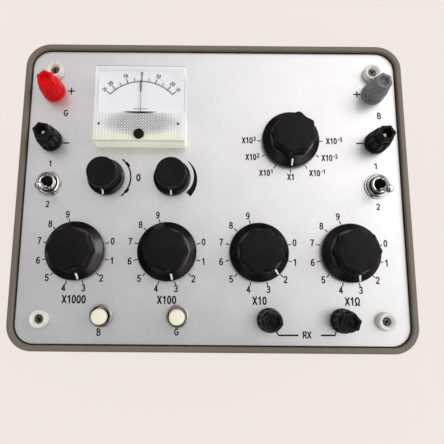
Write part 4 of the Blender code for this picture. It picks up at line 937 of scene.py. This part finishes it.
def build_cups():
    """Cream cups at the corners, each with a cross-head screw sunk in it."""
    profile = [*mm((2.2, 0.3), (6.0, 0.3), (6.4, 0.7), (6.4, 1.2)), *round_over(0.0060, 0.0052, 0.0008),
               *mm((4.6, 5.2), (4.3, 5.0), (3.4, 4.0), (3.1, 3.2), (2.9, 1.4), (2.2, 1.2))]
    for number, name in enumerate(CUPS):
        spot = middle(name)
        cup = to_mesh(turned(profile, 48, "joined"), IVORY, spot)
        piece(name.replace("screw_cup", "cup"), cup, "cream_moulding", name)
        turn = CUP_SCREW_TURN + CUP_SCREW_TURN_STEP * number
        head = placed(screw_head(*CUP_SCREW, DARK_STEEL), DARK_STEEL, spot, turn)
        piece(name.replace("screw_cup", "corner_screw"), head, "plated_steel")


def large_skirt():
    """Return the profile of a large knob's skirt: a rounded rim and a straight slope up to the grip."""
    edge = KNOB_RADIUS - 0.0007
    crest = KNOB_RIM + 0.0002
    slope = [(edge + (KNOB_TIP - 0.0002 - edge) * step / 6, crest + (KNOB_FOOT - crest) * step / 6)
             for step in range(1, 7)]
    return [(KNOB_BORE, KNOB_LIFT), (KNOB_RADIUS - 0.0005, KNOB_LIFT), (KNOB_RADIUS, KNOB_LIFT + 0.0005),
            (KNOB_RADIUS, KNOB_RIM - 0.0006), (KNOB_RADIUS - 0.0002, KNOB_RIM - 0.0002), (edge, crest),
            *slope,
            (KNOB_TIP - KNOB_HOLLOW - 0.0006, KNOB_FOOT + 0.0001), (KNOB_BORE, KNOB_FOOT + 0.0001)]


def large_grip():
    """Return the profile of a large knob's grip, with a slight crown, before its hollows."""
    foot = KNOB_FOOT + 0.0006
    side = [(KNOB_TIP - 0.0002 * share, foot + (KNOB_TOP - 0.0012 - foot) * share)
            for share in (0.25, 0.5, 0.75)]
    crown = [(KNOB_TIP - 0.0032, 0.0001), *mm((10.0, 0.2), (7.5, 0.35), (4.0, 0.5), (0.4, 0.5))]
    return [(KNOB_BORE, KNOB_FOOT - 0.0006), (KNOB_TIP - 0.0004, KNOB_FOOT - 0.0006), (KNOB_TIP, KNOB_FOOT),
            (KNOB_TIP, foot), *side, *round_over(KNOB_TIP - 0.0002, KNOB_TOP, 0.0010, 5),
            *[(radius, KNOB_TOP + rise) for radius, rise in crown]]


def large_pointer():
    """Return the raised white line that runs down a large knob's skirt."""
    slope = (KNOB_FOOT - KNOB_RIM) / (KNOB_RADIUS - KNOB_TIP)
    rings = []
    for radius, width in ((POINTER_START, 1.0), (POINTER_START + 0.0003, 1.3), (POINTER_END - 0.0003, 0.9),
                          (POINTER_END, 0.7)):
        half = POINTER_WIDTH / 2 * width
        level = KNOB_FOOT - max(radius - KNOB_TIP, 0.0) * slope
        rings.append([(radius, -half, level - 0.0004), (radius, half, level - 0.0004),
                      (radius, half * 0.8, level + 0.0002), (radius, -half * 0.8, level + 0.0002)])
    return loft(bmesh.new(), rings)


def build_large_knobs():
    """Decade and ratio knobs: sloping skirt, lobed grip and a painted pointer."""
    for name, turn in KNOB_TURNS.items():
        dial = name + "_dial"
        spot = middle(name + "_knob")
        skirt = to_mesh(turned(large_skirt(), 128, "joined"), GLOSS_BLACK, spot)
        piece(name + "_skirt", skirt, "black_moulding", body=dial)
        grip = grown(to_mesh(turned(large_grip(), 192), BLACK), FLUTES, BLACK, count=float(KNOB_LOBES),
                     depth=KNOB_HOLLOW, sharpness=1.3, first_turn=math.radians(-LOBE_OFFSET * KNOB_LOBES / 2),
                     foot=KNOB_FOOT - 0.0006, top=0.05, blend=0.0001, core=0.0118)
        piece(name + "_grip", placed(grip, BLACK, spot, turn), "black_moulding", name + "_knob", body=dial)
        line = to_mesh(large_pointer(), WHITE_INK, spot, turn)
        piece(name + "_pointer", line, "white_dial", body=dial)


def small_skirt():
    """Return the profile of a small knob's skirt."""
    return [(SMALL_BORE, KNOB_LIFT), (SMALL_RADIUS - 0.0004, KNOB_LIFT), (SMALL_RADIUS, KNOB_LIFT + 0.0004),
            (SMALL_RADIUS, SMALL_RIM - 0.0003), (SMALL_RADIUS - 0.0003, SMALL_RIM + 0.0001),
            (SMALL_RADIUS - 0.0007, SMALL_RIM + 0.0004), (SMALL_RADIUS - 0.0015, SMALL_RIM + 0.0009),
            (SMALL_BODY + 0.0002, SMALL_FOOT), (SMALL_BODY - 0.0010, SMALL_FOOT), (SMALL_BORE, SMALL_FOOT)]


def small_grip():
    """Return the profile of a small knob's grip, slightly dished on top, before its knurl."""
    return [(SMALL_BORE, SMALL_FOOT - 0.0004), (SMALL_BODY - 0.0003, SMALL_FOOT - 0.0004),
            (SMALL_BODY, SMALL_FOOT + 0.0004), (SMALL_BODY - 0.0001, 0.010), (SMALL_BODY - 0.0002, 0.014),
            (SMALL_BODY - 0.0003, SMALL_TOP - 0.0012), *round_over(SMALL_BODY - 0.0006, SMALL_TOP, 0.0006, 3),
            (SMALL_BODY - 0.0022, SMALL_TOP), (0.0060, SMALL_TOP - 0.0002), (0.0004, SMALL_TOP - 0.0004)]


def small_pointer():
    """Return the white line that runs from a small knob's grip down to its rim."""
    half = SMALL_POINTER / 2
    rings = []
    for radius, level in ((SMALL_BODY - 0.0001, SMALL_FOOT + 0.0030),
                          (SMALL_BODY + 0.0003, SMALL_FOOT + 0.0001),
                          (SMALL_RADIUS - 0.0014, SMALL_RIM + 0.0011),
                          (SMALL_RADIUS - 0.0001, SMALL_RIM + 0.0001)):
        rings.append([(radius - half, -half, level - 0.0003), (radius - half, half, level - 0.0003),
                      (radius, half, level), (radius, -half, level)])
    return loft(bmesh.new(), rings)


def build_small_knobs():
    """Zero and sensitivity knobs: round skirt, fine knurl, spindle and a painted pointer."""
    for name, turn in SMALL_TURNS.items():
        control = name + "_control"
        spot = middle(name + "_knob")
        skirt = to_mesh(turned(small_skirt(), 96, "joined"), GLOSS_BLACK, spot)
        piece(name + "_skirt", skirt, "black_moulding", body=control)
        grip = grown(to_mesh(turned(small_grip(), 4 * SMALL_TEETH), BLACK), FLUTES, BLACK,
                     count=float(SMALL_TEETH), depth=SMALL_TOOTH, sharpness=1.0, foot=SMALL_FOOT + 0.0008,
                     top=SMALL_TOP - 0.0012, blend=0.0006, core=0.0085)
        spindle = to_mesh(turned(mm((3.0, -8.5), (3.0, 4.5)), 24), BLACK, spot)
        whole = joined([placed(grip, BLACK, spot, turn), spindle], BLACK)
        piece(name + "_grip", whole, "black_moulding", name + "_knob", body=control)
        line = to_mesh(small_pointer(), WHITE_INK, spot, turn)
        piece(name + "_pointer", line, "white_dial", body=control)


def build_toggles():
    """Toggle switches: washer, dress nut, threaded bush with its throat, body and bat lever, and black rings
    in the gaps beside the nut as painted shade.
    """
    washer = mm((7.2, 0.3), (9.2, 0.3), (9.3, 0.5), (9.3, 0.9), (9.1, 1.1), (8.4, 1.2), (7.2, 1.2))
    nut = mm((6.0, 1.2), (8.0, 1.2), (8.2, 1.5), (8.2, 2.6), (8.0, 3.1), (7.5, 3.4), (7.1, 3.3), (6.7, 2.8),
             (6.3, 2.4), (6.0, 2.2))
    bush = mm((4.0, -6.0), (5.9, -6.0), (5.9, 4.0), (5.8, 5.3), (5.5, 5.9), (5.1, 6.1), (4.6, 6.0),
              (4.2, 5.6), (4.0, 5.0))
    throat = mm((3.6, -6.0), (4.1, -6.0), (4.1, 4.9), (3.9, 4.9))
    # Black rings in the gaps beside the dress nut: painted shade between bush, nut and washer
    bush_gap_shade = mm((5.8, 1.0), (6.4, 1.0), (6.4, 2.6), (5.8, 2.6))
    nut_gap_shade = mm((8.1, 0.4), (8.5, 0.4), (8.5, 1.4), (8.1, 1.4))
    lever = mm((1.7, -7.5), (1.7, -3.0), (2.4, -1.8), (3.0, 0.0), (2.6, 1.3), (2.1, 2.2), (1.6, 3.1),
               (1.6, 8.0), (1.8, 14.0), (2.0, 18.6), (2.3, 20.5), (2.7, 22.2), (2.85, 23.6), (2.75, 24.7),
               (2.3, 25.6), (1.4, 26.1), (0.3, 26.2))
    for side in ("left", "right"):
        node = side + "_toggle_body"
        lever_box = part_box(side + "_toggle_lever")
        spot = middle(node)
        spot.y = (lever_box[0].y + lever_box[1].y) / 2 + LEVER_REACH
        low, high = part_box(node)
        centre = middle(node)
        body = loft(bmesh.new(), [rounded(high.x - low.x, high.y - low.y, 0.0015, level, 4)
                                  for level in (low.z, PANEL - TOGGLE_BODY_DROP)])
        rings = [to_mesh(turned(profile, count, "joined"), CHROME, spot)
                 for profile, count in ((washer, 72), (nut, 72), (bush, 56))]
        whole = joined([*rings, to_mesh(body, CHROME, (centre.x, centre.y, 0.0))], CHROME)
        piece(side + "_toggle_ring", whole, "plated_steel", node)
        # The throat's black sleeve, and the rings of painted shade in the gaps
        throat_and_gap_shades = [to_mesh(turned(profile, count, "joined"), RUBBER_AND_SHADE, spot)
                for profile, count in ((throat, 40), (bush_gap_shade, 56), (nut_gap_shade, 72))]
        piece(side + "_toggle_throat_and_gap_shades", joined(throat_and_gap_shades, RUBBER_AND_SHADE), "black_moulding")
        bat = to_mesh(turned(lever, 40), CHROME)
        bat.transform(Matrix.Translation(Vector((spot.x, spot.y, PANEL - TOGGLE_PIVOT_DROP)))
                      @ Matrix.Rotation(math.radians(TOGGLE_LEAN), 4, "X"))
        piece(side + "_toggle_bat", bat, "chrome", side + "_toggle_lever", body=side + "_toggle")


def build_buttons():
    """Push-buttons: chrome bezel with its thread and nut, a black ring as painted shade in the gap round the
    cap, and a bright cream cap.
    """
    bezel = mm((3.3, 0.9), (6.3, 0.9), (6.3, 4.0), (6.5, 4.7), (6.8, 5.0), (7.2, 4.9), (7.5, 4.4), (7.7, 3.6),
               (7.8, 2.2), (7.8, 0.3), (6.0, 0.3), (6.0, -2.3), (8.5, -2.3), (8.5, -4.8), (6.0, -4.8),
               (6.0, -16.3), (3.3, -14.9))
    # Black ring inside the bezel: painted shade of the gap round the cap
    gap_shade_ring = mm((6.1, 1.0), (6.35, 1.0), (6.4, 4.4), (6.2, 4.4))
    cap = [*mm((2.2, -7.3), (2.2, 3.7), (5.0, 3.7), (5.3, 4.0), (5.3, 7.0)),
           *round_over(0.0053, 0.0088, 0.0013, 5), *mm((3.0, 8.9), (0.4, 9.0))]
    for side, (shift_x, shift_y) in CAP_SHIFTS.items():
        node = side + "_button_housing"
        spot = middle(node)
        ring = to_mesh(turned(bezel, 72, "joined"), DULL_CHROME, spot)
        piece(side + "_button_bezel", ring, "chrome", node)
        # Painted shade in the gap between bezel and cap
        shade = to_mesh(turned(gap_shade_ring, 56, "joined"), RUBBER_AND_SHADE, spot)
        piece(side + "_button_gap_shade", shade, "black_moulding")
        top = to_mesh(turned(cap, 56), CREAM, spot + Vector((shift_x, shift_y, 0.0)))
        piece(side + "_button_top", top, "cream_moulding", side + "_button_cap", body=side + "_button")


def build_posts():
    """Binding posts: moulded collar, stem and fluted cap with a six-sided head and a hollow in it."""
    collar = mm((3.2, 0.3), (8.0, 0.3), (8.3, 0.6), (8.3, 3.4), (8.1, 3.8), (7.7, 4.0), (3.2, 4.0))
    stem = mm((0.3, 16.8), (1.2, 16.8), (1.5, 16.5), (1.5, 14.0), (3.0, 13.7), (3.0, -2.3), (6.2, -2.3),
              (6.2, -5.3), (3.0, -5.3), (3.0, -16.0))
    cap = mm((3.3, 5.6), (7.7, 5.6), (8.1, 5.9), (8.2, 6.4), (8.1, 8.0), (7.9, 10.0), (7.6, 12.0),
             (7.3, 13.6), (7.0, 14.6), (6.7, 15.6), (6.4, 16.8), (6.3, 18.0), (6.3, 19.2), (6.3, 20.4),
             (6.1, 21.1), (5.8, 21.4), (5.0, 21.5), (4.2, 21.5), (3.7, 21.4), (3.5, 21.1))
    closed_mouth = mm((3.4, 20.4), (3.4, 19.6), (3.2, 19.3), (2.0, 19.2), (1.6, 19.4), (0.4, 19.5))
    open_mouth = mm((3.4, 20.0), (3.4, 16.0), (3.3, 13.0))
    for name, (finish, slot, turn, closed, flute) in POSTS.items():
        spot = middle(name + "_base")
        ring = to_mesh(turned(collar, 56, "joined"), finish, spot)
        piece(name + "_collar", ring, slot, name + "_base")
        piece(name + "_stem", to_mesh(turned(stem, 36), PALE_BRASS, spot), "brass")
        if closed:
            skin = turned(cap + closed_mouth, 144)
        else:
            skin = turned(cap + open_mouth, 144, "joined")
        fluted = grown(to_mesh(skin, finish), FLUTES, finish, count=12.0, depth=flute, sharpness=0.8,
                       foot=0.0068, top=0.0138, blend=0.0008, core=0.0048)
        head = grown(fluted, FLUTES, finish, count=6.0, depth=0.0009, sharpness=1.0, foot=0.0168, top=0.05,
                     blend=0.0026, core=0.0040)
        piece(name + "_top", placed(head, finish, spot, turn), slot, name + "_cap", body=name + "_head")


def meter_outline(inset, height, near=None, far=None):
    """Return a level ring inside the meter's outline, cut off at a near or a far line."""
    low = -METER_WIDTH / 2 + inset if near is None else near
    high = METER_WIDTH / 2 - inset if far is None else far
    corner = max(METER_CORNER - inset, 0.0004)
    return rounded(METER_LENGTH - 2 * inset, high - low, corner, height, 5, (0.0, (low + high) / 2))


def build_cover(spot):
    """Clear window over the dial, and the ribbed sill in front of it."""
    chamfer = METER_EDGE * 0.3
    window = loft(bmesh.new(), [
        meter_outline(METER_WALL, METER_HEIGHT - METER_WALL, near=SILL_TOP + 0.0004),
        meter_outline(METER_WALL, METER_SEAT, near=SILL_TOP + 0.0004),
        meter_outline(0.0, METER_SEAT, near=SILL_TOP),
        meter_outline(0.0, METER_HEIGHT - METER_EDGE, near=SILL_TOP),
        meter_outline(chamfer, METER_HEIGHT - chamfer, near=SILL_TOP),
        meter_outline(METER_EDGE, METER_HEIGHT, near=SILL_TOP),
    ])
    piece("meter_window", to_mesh(window, CLEAR, spot), "clear_acrylic", "meter_cover")

    top = METER_HEIGHT + SILL_RISE
    sill = loft(bmesh.new(), [
        meter_outline(0.0, METER_SEAT, far=SILL_TOP - 0.0001),
        meter_outline(0.0, top - METER_EDGE, far=SILL_TOP - 0.0001),
        meter_outline(chamfer, top - chamfer, far=SILL_TOP - 0.0002),
        meter_outline(METER_EDGE, top, far=SILL_TOP - 0.0005),
    ])
    near = -METER_WIDTH / 2 + 0.0006
    far = SILL_TOP - 0.0012
    edge = (0.0, top - 0.0001)
    crest = (0.0003, top + 0.0004)
    rib = loft(bmesh.new(), [
        [(x, near, RIB_FOOT), (x, far, RIB_FOOT), (x, far - slope, level), (x, near, level)]
        for x, (slope, level) in ((-0.00055, edge), (-0.00035, crest), (0.00035, crest), (0.00055, edge))])
    ribs = grown(to_mesh(rib, SILL), ROW, SILL, count=RIB_COUNT, pitch=RIB_PITCH)
    whole = joined([to_mesh(sill, SILL, spot), placed(ribs, SILL, spot)], SILL)
    piece("meter_sill", whole, "clear_acrylic")


def build_sill_marks(spot):
    """Two small pins in the sill, and the dark lens-shaped line along its far edge, a painted shadow."""
    top = METER_HEIGHT + SILL_RISE
    pin = [(0.0007, top - 0.001), (0.0008, top + 0.0004), (0.0005, top + 0.0006)]
    pins = [to_mesh(turned(pin, 20), BLACK, spot + Vector((x, y, 0.0))) for x, y in SILL_PINS]
    piece("sill_pins", joined(pins, BLACK), "black_moulding")
    # Painted shadow: a dark lens-shaped line under the sill's far edge
    line = stroke([(x, SILL_TOP - drop) for x, drop, _ in SILL_SHADOW], [width for _, _, width in SILL_SHADOW],
                  top + 0.0005)
    piece("sill_shadow", placed(line, BLACK_INK_AND_SHADOW, spot), "black_moulding")


def build_zero_screw():
    """Slotted zero screw in the sill, down to its end behind the dial."""
    radius = ZERO_SCREW_RADIUS
    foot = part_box("meter_zero_screw")[0].z - PANEL
    head = turned([
        (0.0020, foot), (0.0020, 0.0152), (radius, 0.0152), (radius, 0.0160),
        *round_over(radius, ZERO_SCREW_TOP, 0.0006, 4), (0.0010, ZERO_SCREW_TOP)], 48)
    cut = grown(to_mesh(head, BLACK), SCREW, BLACK, slot_length=0.0090, slot_width=0.0009,
                slot_depth=0.0007, head_top=ZERO_SCREW_TOP)
    piece("zero_screw_head", placed(cut, BLACK, middle("meter_zero_screw")), "black_moulding",
          "meter_zero_screw", body="zero_adjuster")


def build_needle(spot):
    """Moving coil on its spindle, a thin needle and the dark blade at its end."""
    coil = mm((1.2, -10.4), (1.2, -9.8), (7.0, -9.8), (7.0, -17.3), (8.9, -17.3), (8.9, -8.3), (1.2, -8.3),
              (1.2, 10.3), (0.4, 10.4))
    meshes = [to_mesh(turned(coil, 40), NEEDLE_PAINT, spot)]
    for start, end, root, tip in (NEEDLE, NEEDLE_BLADE):
        blade = loft(bmesh.new(), [
            [(root / 2, start, z), (tip / 2, end, z), (-tip / 2, end, z), (-root / 2, start, z)]
            for z in NEEDLE_LEVELS])
        meshes.append(to_mesh(blade, NEEDLE_PAINT, spot, NEEDLE_TURN))
    piece("needle", joined(meshes, NEEDLE_PAINT), "black_moulding", "meter_needle", body="meter_movement")


def tick(unit):
    """Return the reach and the width of a mark on the scale, bolder at the numbers."""
    if unit == 0:
        return ZERO_TICK
    if abs(unit) in (10, 20, 25):
        return NUMBER_TICK
    if unit % 5 == 0:
        return FIFTH_TICK
    return UNIT_TICK


def build_dial(spot):
    """White dial with a centre-zero scale: an arc with ticks and plain numbers."""
    plate = loft(bmesh.new(), [meter_outline(DIAL_INSET, level, near=SILL_TOP - 0.001)
                               for level in (DIAL_LEVEL - DIAL_THICKNESS, DIAL_LEVEL)])
    piece("dial_plate", to_mesh(plate, DIAL, spot), "white_dial", "meter_dial")

    level = DIAL_LEVEL + 0.00005

    def reached(unit, reach):
        turn = math.radians(90 - unit * UNIT_TURN)
        return reach * math.cos(turn), PIVOT_OFFSET + reach * math.sin(turn)

    arc = bow(0.0, PIVOT_OFFSET, SCALE_RADIUS, SCALE_RADIUS, 90 - SCALE_HALF, 90 + SCALE_HALF, 80)
    marks = [stroke(arc, SCALE_WIDTH, level)]
    for unit in range(-25, 26):
        reach, width = tick(unit)
        marks.append(stroke([reached(unit, SCALE_RADIUS), reached(unit, SCALE_RADIUS + reach)], width, level))
    for unit, height, reach in SCALE_NUMBERS:
        for side in ((1,) if unit == 0 else (-1, 1)):
            place = (*reached(side * unit, SCALE_RADIUS + reach), level)
            marks.append(lettering(str(unit), height, place, -side * unit * UNIT_TURN, 0.21, 0.95))
    marks.append(stroke([(-0.0049, -0.0023), (0.0044, -0.0023)], 0.0004, level))
    piece("dial_print", placed(joined(marks, BLACK_INK_AND_SHADOW), BLACK_INK_AND_SHADOW, spot), "black_moulding")


def build_meter():
    """Panel meter, from its cover down to the slotted screw that sets its zero."""
    spot = middle("meter_cover")
    build_cover(spot)
    build_dial(spot)
    build_needle(spot + Vector((0.0, PIVOT_OFFSET, 0.0)))
    build_zero_screw()
    build_sill_marks(spot)


def build_print():
    """Everything printed on the front plate: digits, marks, scales and plain signs."""
    level = PANEL + PRINT_HEIGHT
    parts = []

    def words(text, height, x, y, weight=0.185, narrow=0.98):
        parts.append(lettering(text, height, (x, y, level), 0.0, weight, narrow))

    def line(points, width):
        parts.append(stroke(points, width, level))

    def marks(spot, count, first, step):
        mark = bmesh.new()
        half = MARK_WIDTH / 2
        length = MARK_END - MARK_START
        corners = ((0.0, -half, 0.0), (length, -half, 0.0), (length, half, 0.0), (0.0, half, 0.0))
        mark.faces.new([mark.verts.new(corner) for corner in corners])
        ring = grown(plain_mesh(mark), RING, BLACK_INK_AND_SHADOW, count=count, first_turn=first, step=step,
                     radius=MARK_START)
        parts.append(placed(ring, BLACK_INK_AND_SHADOW, (spot.x, spot.y, level)))

    for name, label in DECADE_LABELS.items():
        spot = middle(name + "_knob")
        marks(spot, 10, DECADE_START, -DECADE_STEP)
        for digit in range(10):
            turn = math.radians(DECADE_START - DECADE_STEP * digit)
            words(str(digit), DIGIT_HEIGHT, spot.x - DIGIT_SHIFT + DIGIT_RADIUS * math.cos(turn),
                  spot.y + DIGIT_SHIFT + DIGIT_RADIUS * math.sin(turn))
        words(label, LABEL_HEIGHT, spot.x + 0.0004, LABEL_LINE, narrow=0.90)
    marks(middle("ratio_knob"), 7, 180.0, 30.0)
    for base, power, x, y in RATIO_LABELS:
        back = 0.0011 + 0.0005 * len(power) if power else 0.0
        words(base, SIGN_HEIGHT, x - back, y, 0.19, 0.86)
        if power:
            words(power, POWER_HEIGHT, x + 0.0032 + 0.0004 * len(power), y + 0.0012, 0.21, 0.88)
    for sign, x, y in POST_SIGNS:
        line([(x - SIGN_ARM, y), (x + SIGN_ARM, y)], SIGN_WIDTH)
        if sign == "+":
            line([(x, y - SIGN_ARM), (x, y + SIGN_ARM)], SIGN_WIDTH)
    for text, height, x, y in PLAIN_WORDS:
        words(text, height, x, y)
    for points in RX_LINES:
        line(points, LINE_WIDTH)
    for side in ("left", "right"):
        spot = middle(side + "_toggle_body")
        words("1", TOGGLE_DIGIT, spot.x, spot.y + TOGGLE_DIGIT_OFFSET)
        words("2", TOGGLE_DIGIT, spot.x, spot.y - TOGGLE_DIGIT_OFFSET)

    zero = middle("zero_knob")
    line(bow(zero.x, zero.y, ZERO_ARC, ZERO_ARC, -ZERO_ARC_END, ZERO_ARC_END, 40), LINE_WIDTH)
    for end in (-1, 1):
        tip = math.radians(BARB_TIP * end)
        root = math.radians(BARB_ROOT * end)
        barb = ZERO_ARC + BARB_OUT
        line([(zero.x + barb * math.cos(root), zero.y + barb * math.sin(root)),
              (zero.x + ZERO_ARC * math.cos(tip), zero.y + ZERO_ARC * math.sin(tip))], BARB_WIDTHS)
    height, reach = ZERO_DIGIT
    words("0", height, zero.x + reach, zero.y, 0.2)
    spot = middle("sensitivity_knob")
    line(bow(spot.x, spot.y, WEDGE_ARC, WEDGE_ARC, *WEDGE_ENDS, WEDGE_POINTS),
         [WEDGE_THIN + WEDGE_GROWTH * i / (WEDGE_POINTS - 1) for i in range(WEDGE_POINTS)])
    piece("panel_print", joined(parts, BLACK_INK_AND_SHADOW), "black_moulding")


def dress_inner_nodes():
    """Give the CAD nodes that stay their finishes."""
    finishes = {
        "battery_pack": WRAP, "nine_volt_battery": BLACK, "amplifier_board": CIRCUIT, "meter_base": BLACK,
        "meter_magnet": STEEL,
    }
    for name in KNOB_TURNS:
        finishes[name + "_switch"] = PHENOLIC
        finishes[name + "_shaft"] = STEEL
    for name in POSTS:
        finishes[name + "_clamp"] = CHROME
    for name, finish in finishes.items():
        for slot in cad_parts[name].material_slots:
            slot.material = finish


def ray_kinds(graph):
    """Return 1 for the rays that show a surface itself, and 1 for the glossy ones alone."""
    rays = graph.add("ShaderNodeLightPath").socket.node.outputs
    camera, glossy, transmission = [Wire(graph, rays[name]) for name in (
        "Is Camera Ray", "Is Glossy Ray", "Is Transmission Ray")]
    return camera.sum("MAXIMUM", camera, glossy.sum("MAXIMUM", glossy, transmission)), glossy


def build_camera():
    """Camera over the panel's near half, almost straight down."""
    camera = in_scene("camera", bpy.data.cameras.new("camera"))
    camera.data.sensor_width = 36.0
    camera.data.lens = CAMERA_LENS
    camera.data.shift_x = CAMERA_SHIFT
    camera.data.clip_start = 0.01
    camera.matrix_world = (Matrix.Translation(CAMERA_SPOT)
                           @ Matrix.Rotation(math.radians(CAMERA_TILT), 4, "X")
                           @ Matrix.Rotation(math.radians(CAMERA_ROLL), 4, "Z"))
    bpy.context.scene.camera = camera


def build_window():
    """One broad soft lamp, high at the right, which lights the panel and casts its soft shadows."""
    window = bpy.data.lights.new("window", "AREA")
    window.shape = "RECTANGLE"
    window.size, window.size_y = WINDOW_SIZE
    window.energy = WINDOW_POWER
    spot = Vector(WINDOW_SPOT)
    aim = (Vector((0.0, 0.0, PANEL)) - spot).to_track_quat("-Z", "Y")
    in_scene("window", window).matrix_world = Matrix.Translation(spot) @ aim.to_matrix().to_4x4()


def build_floor():
    """Pale floor that shows its plain colour and still takes soft shadows."""
    shape = bmesh.new()
    bmesh.ops.create_grid(shape, x_segments=1, y_segments=1, size=6.0)
    finish, graph = new_material("pale floor")
    seen, _ = ray_kinds(graph)
    diffuse = graph.add("ShaderNodeBsdfDiffuse", sockets={"Color": (*PALE, 1.0)})
    glow = graph.add("ShaderNodeEmission", sockets={"Color": (*PALE, 1.0), "Strength": 1.0})
    both = graph.add("ShaderNodeMixShader", sockets={0: seen * 0.92, 1: diffuse, 2: glow})
    graph.add("ShaderNodeOutputMaterial", sockets={"Surface": both})
    mesh = plain_mesh(shape)
    mesh.materials.append(finish)
    in_scene("floor", mesh)


def build_world():
    """Pale world; glossy surfaces mirror it brighter at the right and darker on its other sides."""
    world = bpy.data.worlds.new("studio")
    bpy.context.scene.world = world
    world.use_nodes = True
    graph = Graph(world.node_tree)
    seen, glossy = ray_kinds(graph)
    side, front, height = graph.split(graph.add("ShaderNodeTexCoord", out="Generated"))
    bright_right = graph.spread(0.78 * side + 0.30 * front, 0.00, 0.26, 0.02, 1.08)
    dark_low = graph.spread(height, 0.22, 0.56, 0.96, 0.0)
    dark_front = (graph.spread(front, -0.36, 0.26, 0.90, 0.0) * graph.spread(side, 0.28, 0.44, 1.0, 0.0)
                  * graph.spread(side, -0.40, -0.10, 0.50, 1.0))
    dark_left = graph.spread(side, -0.78, -0.42, 0.85, 0.0)
    dark_rear = graph.spread(front, 0.58, 0.82, 0.0, 0.55)
    shade = 1.0 + glossy * bright_right
    for dark in (dark_low, dark_front, dark_left, dark_rear):
        shade = shade * (1.0 - glossy * dark)
    graph.add("ShaderNodeOutputWorld", sockets={"Surface": graph.add("ShaderNodeBackground", sockets={
        "Color": graph.mix(seen, (0.96, 0.98, 1.0), PALE), "Strength": (0.77 + 0.25 * seen) * shade})})


def build_studio():
    """Camera, lamp, floor and world, with colours shown as they are."""
    build_camera()
    build_window()
    build_floor()
    build_world()
    bpy.context.scene.view_settings.view_transform = "Standard"


build_studio()
build_case()
build_door()
build_plate()
build_cups()
build_print()
build_large_knobs()
build_small_knobs()
build_meter()
build_toggles()
build_buttons()
build_posts()
dress_inner_nodes()
